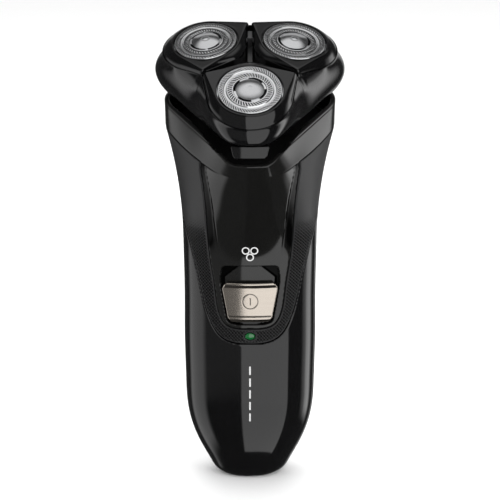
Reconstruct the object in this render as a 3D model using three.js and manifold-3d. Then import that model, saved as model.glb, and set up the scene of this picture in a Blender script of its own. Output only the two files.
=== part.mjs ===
// Cordless rotary shaver with three floating cutting heads, millimetres, +Z up.
// The origin is the centre of the flat base. The front (power button) faces -Y.
// The handle axis is +Z; the neck leans forward by NECK_TILT and the shaving head by HEAD_TILT.
import * as THREE from 'three';
import { mergeVertices } from 'three/addons/utils/BufferGeometryUtils.js';
import Module from 'manifold-3d';

const wasm = await Module();
wasm.setup();

// ---------------------------------------------------------------- driving dimensions
const GAP = 0.3; // clearance between neighbouring pieces
const WALL = 2.0; // handle shell thickness
const HEAD_TILT = 29; // degrees, head plane against the handle's cross-section
const NECK_TILT = 18; // degrees, collar and neck gap
const HEAD_CENTRE = [0, -5.5, 150.9]; // centre of the three cutting discs
const DISC_PITCH = 17.4; // disc centres to head centre
const DISC_CANT = 7; // degrees, each disc leans outwards
const LOBES = [-90, 30, 150]; // azimuths of the front, right and left heads
const SIDES = ['front', 'right', 'left'];
const PIVOT = [0, 5.166, 131.658]; // neck gimbal centre, on the head's drive axis
const PIVOT_DEPTH = 22; // gimbal centre below the head plane, along the head axis
const GEAR_PITCH = 16.8; // drive gears to drive axis
const GEAR_MODULE = 0.8;
const PINION_TEETH = 18;
const GEAR_TEETH = 24;
const LAMP_Z = 56.3;

// ---------------------------------------------------------------- small maths
const rad = (deg) => (deg * Math.PI) / 180;
const lerp = (a, b, t) => a + (b - a) * t;
const smooth = (t) => t * t * (3 - 2 * t);
const range = (n) => [...Array(n).keys()];
const v3 = (x, y, z) => new THREE.Vector3(x, y, z);

// Catmull-Rom value through a column of numbers at position s, counted in rows.
function splineValue(values, s) {
  const last = values.length - 1;
  const i = Math.min(last - 1, Math.max(0, Math.floor(s)));
  const at = (k) => values[Math.min(last, Math.max(0, k))];
  const [p0, p1, p2, p3] = [at(i - 1), at(i), at(i + 1), at(i + 2)];
  const t = s - i;
  const bend = 2 * p0 - 5 * p1 + 4 * p2 - p3;
  const twist = 3 * p1 - p0 - 3 * p2 + p3;
  return 0.5 * (2 * p1 + (p2 - p0) * t + bend * t * t + twist * t * t * t);
}

// Polar radius of a triangle with rounded corners at the LOBES azimuths.
function roundedTriangleRadius(azimuth, halfWidth, corner) {
  const flat = (halfWidth + (Math.sqrt(3) - 1) * corner) / Math.sqrt(3);
  const lobe = 2 * (flat - corner);
  const off = Math.abs(offLobe(azimuth));
  const arcEnd = Math.atan2(corner * Math.sin(rad(60)), lobe + corner / 2);
  if (off > arcEnd) return flat / Math.cos(rad(60) - off);
  return lobe * Math.cos(off) + Math.sqrt(corner ** 2 - (lobe * Math.sin(off)) ** 2);
}

// Angle from the nearest lobe axis, in radians, between -60 and 60 degrees.
function offLobe(azimuth) {
  const turn = rad(120);
  const shifted = azimuth + rad(90) + turn / 2;
  return shifted - Math.floor(shifted / turn) * turn - turn / 2;
}

function superellipseRadius(azimuth, halfWidth, halfDepth, power = 2.2) {
  const c = Math.abs(Math.cos(azimuth)) / halfWidth;
  const s = Math.abs(Math.sin(azimuth)) / halfDepth;
  return (c ** power + s ** power) ** (-1 / power);
}

// ---------------------------------------------------------------- solids from three.js geometry
function solidOf(geometry) {
  const bare = geometry.index ? geometry.toNonIndexed() : geometry.clone();
  bare.deleteAttribute('normal');
  bare.deleteAttribute('uv');
  const merged = mergeVertices(bare, 1e-4);
  return new wasm.Manifold(new wasm.Mesh({
    numProp: 3,
    vertProperties: new Float32Array(merged.attributes.position.array),
    triVerts: new Uint32Array(merged.index.array),
  }));
}

function geometryOf(solid) {
  const mesh = solid.getMesh();
  const geometry = new THREE.BufferGeometry();
  geometry.setAttribute('position', new THREE.BufferAttribute(mesh.vertProperties, 3));
  geometry.setIndex(new THREE.BufferAttribute(mesh.triVerts, 1));
  geometry.computeVertexNormals();
  return geometry;
}

// Closed solid through rings of points that all turn anticlockwise seen from the last ring.
function loft(rings) {
  const n = rings[0].length;
  const points = rings.flat();
  const faces = [];
  for (let r = 0; r + 1 < rings.length; r++) {
    for (const i of range(n)) {
      const a = r * n + i;
      const b = r * n + ((i + 1) % n);
      faces.push(a, b, b + n, a, b + n, a + n);
    }
  }
  const centre = (ring) => ring.reduce((sum, p) => sum.add(p), v3(0, 0, 0)).divideScalar(n);
  const low = points.push(centre(rings[0])) - 1;
  const high = points.push(centre(rings[rings.length - 1])) - 1;
  const top = (rings.length - 1) * n;
  for (const i of range(n)) {
    const next = (i + 1) % n;
    faces.push(next, i, low, top + i, top + next, high);
  }
  const geometry = new THREE.BufferGeometry().setFromPoints(points);
  geometry.setIndex(faces);
  return solidOf(geometry);
}

const placed = (geometry, [x, y, z]) => geometry.translate(x, y, z);
const block = (x0, x1, y0, y1, z0, z1) => solidOf(placed(
  new THREE.BoxGeometry(x1 - x0, y1 - y0, z1 - z0),
  [(x0 + x1) / 2, (y0 + y1) / 2, (z0 + z1) / 2],
));

// Upright cylinder from z0 to z1; sides of 6 make a hexagon.
function rod(radius, z0, z1, x = 0, y = 0, sides = 24) {
  const geometry = new THREE.CylinderGeometry(radius, radius, z1 - z0, sides);
  return solidOf(placed(geometry.rotateX(rad(90)), [x, y, (z0 + z1) / 2]));
}
const rodAlongX = (radius, x0, x1, y, z, sides = 16) => solidOf(placed(
  new THREE.CylinderGeometry(radius, radius, x1 - x0, sides).rotateZ(rad(90)),
  [(x0 + x1) / 2, y, z],
));
const rodAlongY = (radius, y0, y1, x, z, sides = 16) => solidOf(placed(
  new THREE.CylinderGeometry(radius, radius, y1 - y0, sides),
  [x, (y0 + y1) / 2, z],
));
const tube = (outer, inner, z0, z1, x = 0, y = 0, sides = 24) =>
  rod(outer, z0, z1, x, y, sides).subtract(rod(inner, z0 - 1, z1 + 1, x, y, sides));

// Solid of revolution about Z from [radius, z] points that run upwards on the outside.
function turned(profile, sides = 32) {
  const points = profile.map(([r, z]) => new THREE.Vector2(r, z));
  return solidOf(new THREE.LatheGeometry(points, sides).rotateX(rad(90)));
}

// Flat outline extruded: in XY upwards, in XZ along Y, or in YZ along X.
function prism(outline, low, high, plane = 'xy') {
  const shape = new THREE.Shape(outline.map(([a, b]) => new THREE.Vector2(a, b)));
  const options = { depth: high - low, bevelEnabled: false };
  const geometry = new THREE.ExtrudeGeometry(shape, options);
  if (plane === 'xy') return solidOf(geometry.translate(0, 0, low));
  if (plane === 'xz') return solidOf(geometry.rotateX(rad(90)).translate(0, high, 0));
  return solidOf(geometry.rotateY(rad(90)).rotateX(rad(90)).translate(low, 0, 0));
}

const curvePoints = (points, count) =>
  new THREE.SplineCurve(points.map(([a, b]) => new THREE.Vector2(a, b)))
    .getPoints(count).map((p) => [p.x, p.y]);
const mirrored = (half) => [...half, ...half.map(([x, z]) => [-x, z]).reverse()];

// ---------------------------------------------------------------- materials
const plastic = (color, roughness) => new THREE.MeshStandardMaterial({ color, roughness });
const metal = (color, roughness) =>
  new THREE.MeshStandardMaterial({ color, roughness, metalness: 1 });
const MATERIAL = {
  glossBlack: plastic(0x101011, 0.12),
  satinBlack: plastic(0x1c1c1d, 0.35),
  softGrip: plastic(0x1f1f20, 0.6),
  innerBlack: plastic(0x0a0a0a, 0.7),
  champagne: metal(0xcdbfae, 0.28),
  steel: metal(0xc9cacc, 0.25),
  blade: metal(0xb8babd, 0.35),
  brass: metal(0xb8934a, 0.4),
  nylon: plastic(0xd8d5c8, 0.5),
  board: plastic(0x1e5a33, 0.5),
  battery: plastic(0x2f5f9e, 0.4),
  ledGreen: plastic(0x1f7a3a, 0.15),
  rubber: plastic(0x0c0c0c, 0.8),
};

const shaver = new THREE.Group();
function add(group, name, solid, material) {
  const mesh = new THREE.Mesh(geometryOf(solid), MATERIAL[material]);
  mesh.name = name;
  group.add(mesh);
}

// ---------------------------------------------------------------- handle surface
// Sections up the handle: centre z and y, tilt, half width, front and back depth,
// share of the rounded triangle, and its corner radius.
const SECTIONS = [
  [0, 0, 0, 9.8, 7.4, 7.4, 0, 12],
  [1, 0, 0, 11.2, 8.6, 8.6, 0, 12],
  [4.2, 0, 0, 13.6, 10.6, 10.4, 0, 12],
  [11.6, 0, 0, 17.5, 13.6, 13.2, 0, 12],
  [18.9, 0, 0, 20.4, 15.8, 15.2, 0, 12],
  [26.2, 0, 0, 21.9, 17.2, 16.6, 0, 12],
  [36, 0, 0, 22.4, 18, 17.7, 0, 12],
  [52, 0, 0, 22.7, 18.6, 18.4, 0, 12],
  [68, 0, 0, 22.5, 18.6, 18.6, 0, 12],
  [82, 0.2, 2, 22.6, 18.7, 18.7, 0, 12],
  [94, 0.6, 7, 23, 20, 19, 0.15, 13],
  [105, 1.1, 12.5, 24.2, 22.4, 20, 0.4, 15],
  [115, 1.5, 16, 25.9, 25, 21.2, 0.65, 15.5],
  [123.3, 1.8, NECK_TILT, 29.2, 26, 23, 0.85, 15.7],
];
const COLLAR_TOP = [130.6, 1.5, NECK_TILT, 28.4, 26, 23, 1, 11.6];
const CREASE = SECTIONS.length - 1;

const sectionAt = (s) => SECTIONS[0].map((_, column) =>
  splineValue(SECTIONS.map((row) => row[column]), s));

function sectionRing(section, inset, count, lift = 0) {
  const [z, y, tilt, halfWidth, front, back, share, corner] = section;
  return range(count).map((i) => {
    const azimuth = (2 * Math.PI * i) / count;
    const depth = Math.sin(azimuth) < 0 ? front : back;
    const oval = superellipseRadius(azimuth, halfWidth, depth);
    const triangle = roundedTriangleRadius(azimuth, halfWidth, corner);
    const radius = lerp(oval, triangle, share) - inset;
    const along = radius * Math.sin(azimuth);
    return v3(
      radius * Math.cos(azimuth),
      y + along * Math.cos(rad(tilt)) - lift * Math.sin(rad(tilt)),
      z + along * Math.sin(rad(tilt)) + lift * Math.cos(rad(tilt)),
    );
  });
}

// The handle as a solid, shrunk by inset; from a start position and open-ended if topLift > 0.
function handleSolid(inset, start, rows, count, topLift = 0) {
  const steps = range(rows + 1).map((i) => lerp(start, CREASE, i / rows));
  const rings = steps.map((s) => sectionRing(sectionAt(s), inset, count));
  rings.push(sectionRing(COLLAR_TOP, inset, count));
  if (topLift > 0) rings.push(sectionRing(COLLAR_TOP, inset, count, topLift));
  return loft(rings);
}

const OUTER_COUNT = 32;
const INNER_COUNT = 20;
const INNER_ROWS = 7;
const handleBody = handleSolid(0, 0, 13, OUTER_COUNT);
const cavity = handleSolid(WALL, 1.5, INNER_ROWS, INNER_COUNT, 8);
const shell = handleBody.subtract(cavity);
const innerSpace = handleSolid(WALL + 0.8, 1.6, INNER_ROWS, INNER_COUNT);

// ---------------------------------------------------------------- where the shell is split
const FAR = 60; // beyond the handle on every side
// Front outlines as [half width, z], from the crease down to the bottom of each U.
const FASCIA_EDGE = [[16.9, 114], [15.6, 104.7], [14.8, 93], [13.4, 81], [12.2, 73.5],
  [10.8, 64.5], [8.2, 60.2], [4, 59], [0.4, 59]];
const GRIP_EDGE = [[26, 102], [23.3, 95], [20.5, 86.4], [17.4, 74.4], [13.7, 61],
  [9.8, 55.6], [4.5, 53.7], [0.4, 53.5]];

// Everything between the two mirrored copies of an edge, above it, grown by margin.
function aboveEdge(edge, margin, topHalfWidth) {
  const shifted = edge.map(([x, z]) => [x + margin, z - margin]);
  const half = [[topHalfWidth, FAR * 3], [topHalfWidth, shifted[0][1]],
    ...curvePoints(shifted, 10)];
  return prism(mirrored(half), -FAR, FAR, 'xz');
}

// The crease plane splits the collar from everything below it; offset moves it up.
function aboveCrease(offset) {
  const [z, y, tilt] = SECTIONS[CREASE];
  const geometry = new THREE.BoxGeometry(4 * FAR, 4 * FAR, FAR);
  geometry.translate(0, 0, FAR / 2 + offset).rotateX(rad(tilt)).translate(0, y, z);
  return solidOf(geometry);
}

// Side view line between front and back shells, as [y, z].
const PARTING = [[-4, -FAR], [-4, 76], [-1, 88], [5, 98], [8, 106], [8, 3 * FAR]];
const behindParting = (margin) => prism(
  [...PARTING.map(([y, z]) => [y + margin, z]), [FAR, 3 * FAR], [FAR, -FAR]].reverse(),
  -FAR, FAR, 'yz',
);

const gapHalf = GAP / 2;
const frontShell = shell.subtract(behindParting(-gapHalf));
const collarRing = shell.intersect(aboveCrease(gapHalf));
const belowCollar = frontShell.subtract(aboveCrease(-gapHalf));

// ---------------------------------------------------------------- power button, lamp and pocket
const POCKET_HALF = [[7.2, 81.2], [9.3, 80], [10.25, 77.4], [10.1, 74], [9.2, 69], [7.8, 64],
  [6.2, 61.9]];
const BUTTON_HALF = [[8.4, 75.7], [9.5, 73.6], [7.6, 64.6], [6.6, 62.9], [5.4, 62.3]];
const BUTTON_FACE = -19.4;
const LENS_RADIUS = 1.6;
const pocketCut = prism(mirrored(POCKET_HALF), -FAR, -12, 'xz');
const lampHole = rodAlongY(LENS_RADIUS + GAP, -FAR, -12, 0, LAMP_Z);

// The collar's notch leaves room for the release tab.
const notchOutline = mirrored([[9.4, 126], [8.4, 121.6], [6.8, 118.9], [5.6, 118.4]]);
const notch = prism(notchOutline, -FAR, -18, 'xz');

const fasciaRegion = aboveEdge(FASCIA_EDGE, -gapHalf, FASCIA_EDGE[0][0] - gapHalf);
const fasciaCut = aboveEdge(FASCIA_EDGE, gapHalf, FASCIA_EDGE[0][0] + gapHalf);
// The tongue runs a little way up inside the crease gap, so that it joins the collar.
const tongue = frontShell.subtract(aboveCrease(2)).intersect(fasciaRegion);
// A floor with the slide's slot closes the pocket from behind.
const floorOutline = mirrored([[10.9, 82.2], [11.4, 78], [9.8, 66], [7.4, 60.6]]);
const sliderSlot = block(-3, 3, -FAR, 0, 65.4, 77.6);
const pocketFloor = prism(floorOutline, -16, -15, 'xz').intersect(handleBody)
  .subtract(sliderSlot);
add(shaver, 'front_fascia',
  collarRing.add(tongue).subtract(notch).subtract(pocketCut).add(pocketFloor), 'glossBlack');
add(shaver, 'grip_panel',
  belowCollar.intersect(aboveEdge(GRIP_EDGE, -gapHalf, FAR)).subtract(fasciaCut)
    .subtract(lampHole), 'softGrip');
add(shaver, 'front_cover',
  belowCollar.subtract(aboveEdge(GRIP_EDGE, gapHalf, FAR)), 'glossBlack');

// ---------------------------------------------------------------- rear shell and pop-up trimmer
const TRIMMER = { half: 11, low: 93.6, high: 111, knuckle: 7, axisY: 16.6, axisZ: 91 };
const KNUCKLE_RADIUS = 2.6;
const EAR = { near: 7.3, far: 8.8, low: 88.6, high: 91.2 };
const trimmerWindow = block(-TRIMMER.half - 0.5, TRIMMER.half + 0.5, 10, FAR,
  TRIMMER.low - 0.9, TRIMMER.high + 0.5,
).add(block(-EAR.far - GAP, EAR.far + GAP, 10, FAR,
  TRIMMER.axisZ - KNUCKLE_RADIUS - 0.5, TRIMMER.low));
const trimmerRod = (radius, half, sides) =>
  rodAlongX(radius, -half, half, TRIMMER.axisY, TRIMMER.axisZ, sides);
const releaseSlot = block(-3.3, 3.3, 10, FAR, 74.7, 84.3);
const baseOpening = block(-3.4, 3.4, 1, 6.2, -1, 4);
const rearShell = shell.intersect(behindParting(gapHalf)).subtract(aboveCrease(-gapHalf));
add(shaver, 'rear_shell',
  rearShell.subtract(trimmerWindow).subtract(releaseSlot).subtract(baseOpening),
  'satinBlack');

const armPlate = handleBody.subtract(handleSolid(2.6, 1.5, INNER_ROWS, INNER_COUNT, 8)).intersect(
  block(-TRIMMER.half, TRIMMER.half, 10, FAR, TRIMMER.low, TRIMMER.high));
const armNeck = block(-TRIMMER.knuckle, TRIMMER.knuckle, 15.6, 19, 91, TRIMMER.low + 1)
  .intersect(handleBody);
const trimmerArm = armPlate.add(armNeck)
  .add(trimmerRod(KNUCKLE_RADIUS, TRIMMER.knuckle, 20)).subtract(trimmerRod(1.05, FAR, 12));
add(shaver, 'trimmer_arm', trimmerArm, 'satinBlack');
add(shaver, 'trimmer_hinge_pin', trimmerRod(0.8, TRIMMER.knuckle + 1.6, 12), 'steel');

// Comb and cutting blade lie flat behind the arm, teeth upwards.
function toothedPlate(halfWidth, z0, z1, pitch, depth, y0, y1) {
  const teeth = Math.floor((2 * halfWidth) / pitch);
  const start = (-teeth * pitch) / 2;
  const edge = range(teeth).flatMap((i) => [
    [start + (i + 0.12) * pitch, z1 - depth], [start + (i + 0.32) * pitch, z1],
    [start + (i + 0.62) * pitch, z1], [start + (i + 0.82) * pitch, z1 - depth],
  ]);
  const outline = [[halfWidth, z0], [halfWidth, z1 - depth], ...edge.reverse(),
    [-halfWidth, z1 - depth], [-halfWidth, z0]];
  return prism(outline, y0, y1, 'xz');
}
add(shaver, 'trimmer_comb', toothedPlate(9.6, 95, 110.4, 1.6, 2.4, 15, 15.5), 'steel');
add(shaver, 'trimmer_blade', toothedPlate(8, 99, 109.8, 1.6, 2.2, 14.3, 14.8), 'blade');

// Tray behind the folded trimmer, open to the back, with ears for the hinge pin.
const bayOuter = block(-12.6, 12.6, 13.3, 18, 87.2, 112.6);
const bayInner = block(-11.4, 11.4, 13.9, 20, 88, 111.6);
const ears = block(-EAR.far, -EAR.near, 13.5, 17.9, EAR.low, EAR.high)
  .add(block(EAR.near, EAR.far, 13.5, 17.9, EAR.low, EAR.high));
const bay = bayOuter.subtract(bayInner).intersect(innerSpace).add(ears)
  .subtract(trimmerRod(0.95, FAR, 12));
add(shaver, 'trimmer_bay', bay, 'innerBlack');
add(shaver, 'trimmer_release',
  block(-2.9, 2.9, 16, 19.4, 77.6, 83.9).add(block(-4.6, 4.6, 15, 16.1, 77.4, 84.1)),
  'satinBlack');

// ---------------------------------------------------------------- power button
const button = prism(mirrored(BUTTON_HALF), BUTTON_FACE, -16.7, 'xz')
  .add(block(-2.4, 2.4, -17, -14.8, 66.5, 71.5));
add(shaver, 'power_button', button, 'champagne');
add(shaver, 'switch_lever', block(-1.2, 1.2, -14.5, -11.3, 67.8, 70.2), 'nylon');

// ---------------------------------------------------------------- electronics and battery
const SCREWS = [[-9, 28], [9, 84]];
const screwHoles = SCREWS.map(([x, z]) => rodAlongY(1.2, -FAR, 0, x, z, 12))
  .reduce((all, hole) => all.add(hole));
add(shaver, 'circuit_board', block(-11, 11, -9.6, -8.4, 24, 88).subtract(screwHoles), 'board');
add(shaver, 'chassis',
  innerSpace.intersect(block(-17, 17, -6.8, -5.3, 5, 95)).subtract(screwHoles), 'innerBlack');
SCREWS.forEach(([x, z], i) => add(shaver, `board_screw_${['low', 'high'][i]}`,
  rodAlongY(0.9, -9.9, -5, x, z, 10).add(rodAlongY(1.8, -11, -9.9, x, z, 12)), 'steel'));
add(shaver, 'slide_switch', block(-4, 4, -12.5, -9.9, 63.5, 76)
  .subtract(block(-1.6, 1.6, -13, -11, 66, 75.5)), 'innerBlack');
add(shaver, 'led_chip', block(-1.2, 1.2, -10.5, -9.9, LAMP_Z - 1, LAMP_Z + 1), 'nylon');
add(shaver, 'led_lens', rodAlongY(LENS_RADIUS, -18.9, -10.8, 0, LAMP_Z), 'ledGreen');
add(shaver, 'battery_cell', rod(7, 24, 72, 0, 3.4).add(rod(2.4, 71, 73, 0, 3.4)), 'battery');
add(shaver, 'battery_contact_top', block(-4, 4, -1, 8, 73.3, 73.8), 'brass');
add(shaver, 'battery_contact_bottom', block(-4, 4, -1, 8, 23.1, 23.6), 'brass');

const SOCKET_Y = 3.5;
const socketHoles = rod(0.9, 0, 20, -1.6, SOCKET_Y, 12).add(rod(0.9, 0, 20, 1.6, SOCKET_Y, 12));
add(shaver, 'charging_socket', block(-4.6, 4.6, -0.3, 7.1, 4.4, 12.6)
  .subtract(block(-3.2, 3.2, 1.2, 6, 4, 9.6)).subtract(socketHoles), 'innerBlack');
add(shaver, 'charging_pin_left', rod(0.6, 5.2, 14, -1.6, SOCKET_Y, 12), 'steel');
add(shaver, 'charging_pin_right', rod(0.6, 5.2, 14, 1.6, SOCKET_Y, 12), 'steel');

// ---------------------------------------------------------------- motor
const motorY = PIVOT[1];
add(shaver, 'motor_can', rod(8, 96, 119, 0, motorY).add(rod(3, 118, 120.4, 0, motorY))
  .subtract(rod(1.4, 110, 130, 0, motorY, 16)), 'steel');
const cradle = tube(10.2, 8.3, 102, 112, 0, motorY)
  .add(block(-17, -8.9, 1, 7, 102, 112)).add(block(8.9, 17, 1, 7, 102, 112))
  .subtract(block(-FAR, FAR, 12.6, FAR, 90, 120));
add(shaver, 'motor_cradle', cradle, 'innerBlack');
const driveBall = solidOf(new THREE.SphereGeometry(2, 12, 8)
  .rotateX(rad(90)).translate(...PIVOT));
add(shaver, 'motor_shaft', rod(1, 112, PIVOT[2] - 1, 0, motorY, 12).add(driveBall), 'steel');

// ---------------------------------------------------------------- neck, in a frame at the gimbal
const neck = new THREE.Group();
neck.position.set(...PIVOT);
neck.rotation.x = rad(NECK_TILT);
shaver.add(neck);

const DECK_DEPTH = 6.4; // top of the deck below the gimbal centre
const TRUNNION = 0.8;
const toNeck = (solidInWorld) => {
  const geometry = geometryOf(solidInWorld);
  geometry.translate(-PIVOT[0], -PIVOT[1], -PIVOT[2]).rotateX(-rad(NECK_TILT));
  return solidOf(geometry);
};
const deckPlate = toNeck(handleSolid(WALL + GAP, 1.5, INNER_ROWS, INNER_COUNT, 8))
  .intersect(block(-FAR, FAR, -FAR, FAR, -DECK_DEPTH - 1.4, -DECK_DEPTH));
const neckDeck = deckPlate.add(tube(11.8, 10.2, -DECK_DEPTH - 1, 0.9))
  .subtract(rod(6, -20, -DECK_DEPTH + 1))
  .subtract(block(-FAR, FAR, -1.1, 1.1, 0, 5)).subtract(rodAlongX(1.1, -14, 14, 0, 0));
add(neck, 'neck_deck', neckDeck, 'innerBlack');
const gimbal = tube(8.6, 6.8, -1.3, 1.3)
  .add(rodAlongX(TRUNNION, 8, 11.4, 0, 0)).add(rodAlongX(TRUNNION, -11.4, -8, 0, 0))
  .add(rodAlongY(TRUNNION, 5, 7.4, 0, 0)).add(rodAlongY(TRUNNION, -7.4, -5, 0, 0));
add(neck, 'gimbal_ring', gimbal, 'nylon');
add(neck, 'neck_boot', tube(15, 13, -DECK_DEPTH + GAP, 0.5), 'rubber');

// ---------------------------------------------------------------- shaving head, in its own frame
const head = new THREE.Group();
head.position.set(...HEAD_CENTRE);
head.rotation.x = rad(HEAD_TILT);
shaver.add(head);

const SKIRT_DEPTH = 5; // parting line below the disc face, in each head's own frame
const RIM_DROP = SKIRT_DEPTH * Math.cos(rad(DISC_CANT));
const LOWER_EDGE = { halfWidth: 29.4, corner: 10.8, tip: 11.2, fall: 0.22, reach: 32.3 };
const BASE_COUNT = 48;

// Outline of one cutting head around its disc: a circle drawn out to two inner corners.
function lobeRadius(azimuth, circle, corner) {
  if (corner.distance <= circle) return circle;
  const spread = Math.acos(circle / corner.distance);
  const past = Math.abs(Math.abs(azimuth) - corner.azimuth);
  return past >= spread ? circle : circle / Math.cos(spread - past);
}
const cornerAt = (u, v) => ({ distance: Math.hypot(u, v), azimuth: Math.atan2(v, u) });
const SKIRT_CIRCLE = 14.9;
const TOP_CIRCLE = 11.9;
const RIM_ROOM = 1.1; // lets each head tip inside the base's rim
const VALLEY_RADIUS = 18; // rim between two lobes
const SKIRT_CORNER = cornerAt(-7.8, 13.3);
const TOP_CORNER = cornerAt(-7.6, 13.7);

// Radius of the base's rim about the head axis: the three lobes with their corners joined.
function rimRadius(azimuth) {
  const circle = SKIRT_CIRCLE + RIM_ROOM;
  const off = Math.abs(offLobe(azimuth));
  const reach = (t) => DISC_PITCH * Math.cos(t)
    + Math.sqrt(Math.max(0, circle ** 2 - (DISC_PITCH * Math.sin(t)) ** 2));
  const join = rad(34); // where the lobe arc hands over to the line along the corners
  if (off < join) return reach(off);
  const t = (off - join) / (rad(60) - join);
  return lerp(reach(join), VALLEY_RADIUS, (smooth(t) + t) / 2);
}

// Point on the head base: azimuth about the head axis, t = 0 lower edge, t = 1 rim.
function basePoint(azimuth, t, inset = 0, raise = 0) {
  const triangle = roundedTriangleRadius(azimuth, LOWER_EDGE.halfWidth, LOWER_EDGE.corner);
  const rim = rimRadius(azimuth);
  const lobe = Math.cos(offLobe(azimuth) * 1.5) ** 2;
  const bulge = 2.2 * lobe * 4 * t * (1 - t) * (1 - 0.35 * t);
  const radius = lerp(triangle, rim, smooth(t)) + bulge - inset;
  const y = radius * Math.sin(azimuth);
  const low = -LOWER_EDGE.tip - LOWER_EDGE.fall * (y + LOWER_EDGE.reach);
  const outward = radius * Math.cos(offLobe(azimuth)) - DISC_PITCH;
  const high = -RIM_DROP - Math.sin(rad(DISC_CANT)) * outward;
  return v3(radius * Math.cos(azimuth), y, lerp(low, high, t) + raise);
}
const baseRing = (t, inset, raise, count) =>
  range(count).map((i) => basePoint((2 * Math.PI * i) / count, t, inset, raise));

const BASE_WALL = 1.4;
const FLOOR = 1.2;
const BASE_INNER_COUNT = 30;
const baseOuter = loft([0, 0.06, 0.35, 0.7, 1]
  .map((t) => baseRing(t, t === 0 ? 0.9 : 0, 0, BASE_COUNT)));
const baseInner = loft([
  baseRing(0, BASE_WALL + 0.6, FLOOR, BASE_INNER_COUNT),
  baseRing(0.4, BASE_WALL, FLOOR / 2, BASE_INNER_COUNT),
  baseRing(1, 0.6, 0.1, BASE_INNER_COUNT), baseRing(1, 0.6, 6, BASE_INNER_COUNT),
]);

const toHead = (geometry) => geometry.translate(
  -HEAD_CENTRE[0], -HEAD_CENTRE[1], -HEAD_CENTRE[2]).rotateX(-rad(HEAD_TILT));
const neckToHead = (solid) => {
  const geometry = geometryOf(solid);
  geometry.rotateX(rad(NECK_TILT)).translate(...PIVOT);
  return solidOf(toHead(geometry));
};
const stem = neckToHead(tube(5.8, 4.2, -1.7, 5).subtract(rodAlongY(1.1, -8, 8, 0, 0)));
const stemBore = neckToHead(rod(4.2, -3, 8));
add(head, 'head_base',
  baseOuter.subtract(baseInner).subtract(stemBore).add(stem), 'glossBlack');

// Hair tray closes the gear space; the gears turn in its three bearing holes.
const polar = (radius, azimuth) =>
  [radius * Math.cos(rad(azimuth)), radius * Math.sin(rad(azimuth))];
const TRAY = { low: -9.1, high: -8.5, bearing: 3.65 };
const trayOutline = range(30).map((i) => {
  const p = basePoint((2 * Math.PI * i) / 30, 0.55, BASE_WALL + 2.2);
  return [p.x, p.y];
});
const tray = LOBES.reduce(
  (solid, azimuth) => solid.subtract(rod(TRAY.bearing, -20, 0, ...polar(GEAR_PITCH, azimuth))),
  prism(trayOutline, TRAY.low, TRAY.high),
);
add(head, 'hair_tray', tray, 'innerBlack');

// Short trapezoid teeth; phase is the azimuth of one tooth's middle, in degrees.
function gearOutline(teeth, phase) {
  const pitchRadius = (teeth * GEAR_MODULE) / 2;
  const half = (Math.PI * GEAR_MODULE) / 4 - 0.07;
  const [tip, root] = [0.55 * GEAR_MODULE, 0.75 * GEAR_MODULE];
  const slope = Math.tan(rad(22));
  return range(teeth).flatMap((i) => {
    const middle = rad(phase) + (2 * Math.PI * i) / teeth;
    const at = (radius, side) => [
      radius * Math.cos(middle + side / radius), radius * Math.sin(middle + side / radius)];
    return [
      at(pitchRadius - root, -half - root * slope), at(pitchRadius + tip, tip * slope - half),
      at(pitchRadius + tip, half - tip * slope), at(pitchRadius - root, half + root * slope),
    ];
  });
}
const GEAR = { low: -11, high: -9.3 };
const pinion = prism(gearOutline(PINION_TEETH, LOBES[0]), GEAR.low, GEAR.high)
  .add(rod(1.5, -19, GEAR.low + 0.5, 0, 0, 12))
  .add(rod(2.9, -PIVOT_DEPTH - 1.4, -PIVOT_DEPTH + 3.4, 0, 0, 16))
  .subtract(rod(2.4, -FAR, -PIVOT_DEPTH + 2.3, 0, 0, 16));
add(head, 'drive_pinion', pinion, 'nylon');

// A drive gear with its journal and hexagonal post, and the coupler that slides on it.
function driveTrain(side, azimuth) {
  const station = new THREE.Group();
  station.position.set(...polar(GEAR_PITCH, azimuth), 0);
  station.rotation.z = rad(azimuth);
  head.add(station);
  const gear = prism(gearOutline(GEAR_TEETH, 180 + 180 / GEAR_TEETH), GEAR.low, GEAR.high)
    .add(rod(3.5, GEAR.high - 0.5, -7.9)).subtract(rod(2.95, -10.5, -7))
    .add(rod(1.7, -10.8, -8.6, 0, 0, 6));
  add(station, `drive_gear_${side}`, gear, 'nylon');
  const coupler = rod(2.75, -9.9, -7.4, 0, 0, 16)
    .add(block(-1.8, 1.8, -0.75, 0.75, -7.6, -4.4)).subtract(rod(2.05, -11, -8, 0, 0, 6));
  add(station, `coupler_${side}`, coupler, 'nylon');
}
LOBES.forEach((azimuth, i) => driveTrain(SIDES[i], azimuth));

// Release tab: a thumb plate that hangs from the head into the collar's notch.
const tabOutline = mirrored([[6.5, 125], [5.9, 122.2], [5.3, 120.7]]);
const releaseTab = prism(tabOutline, -28.3, -26.4, 'xz')
  .add(block(-3, 3, -26.8, -22.5, 121.4, 123.2));
add(shaver, 'release_tab', releaseTab, 'glossBlack');

// ---------------------------------------------------------------- blade frame and its three pods
const ARM = { half: 0.8, post: 12.6, reach: 16.6, low: -7.2, high: -5.6, top: -1.9 };
const HINGE = { u: -9.5, z: -4.2, pin: 0.5 };
const armAzimuths = LOBES.map((azimuth) => azimuth + 60);
function frameArm(azimuth) {
  const bar = block(0, ARM.reach, -ARM.half, ARM.half, ARM.low, ARM.high)
    .add(block(ARM.post, ARM.reach, -ARM.half, ARM.half, ARM.low, ARM.top));
  return solidOf(geometryOf(bar).rotateZ(rad(azimuth)));
}
const podPlace = (azimuth) => {
  const [x, y] = polar(DISC_PITCH, azimuth);
  return (geometry) => geometry.rotateY(rad(DISC_CANT)).rotateZ(rad(azimuth))
    .translate(x, y, 0);
};
const podPins = (radius, near, far) =>
  rodAlongY(radius, near, far, HINGE.u, HINGE.z, 8)
    .add(rodAlongY(radius, -far, -near, HINGE.u, HINGE.z, 8));
let bladeFrame = rod(2.6, ARM.low, ARM.high);
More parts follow.
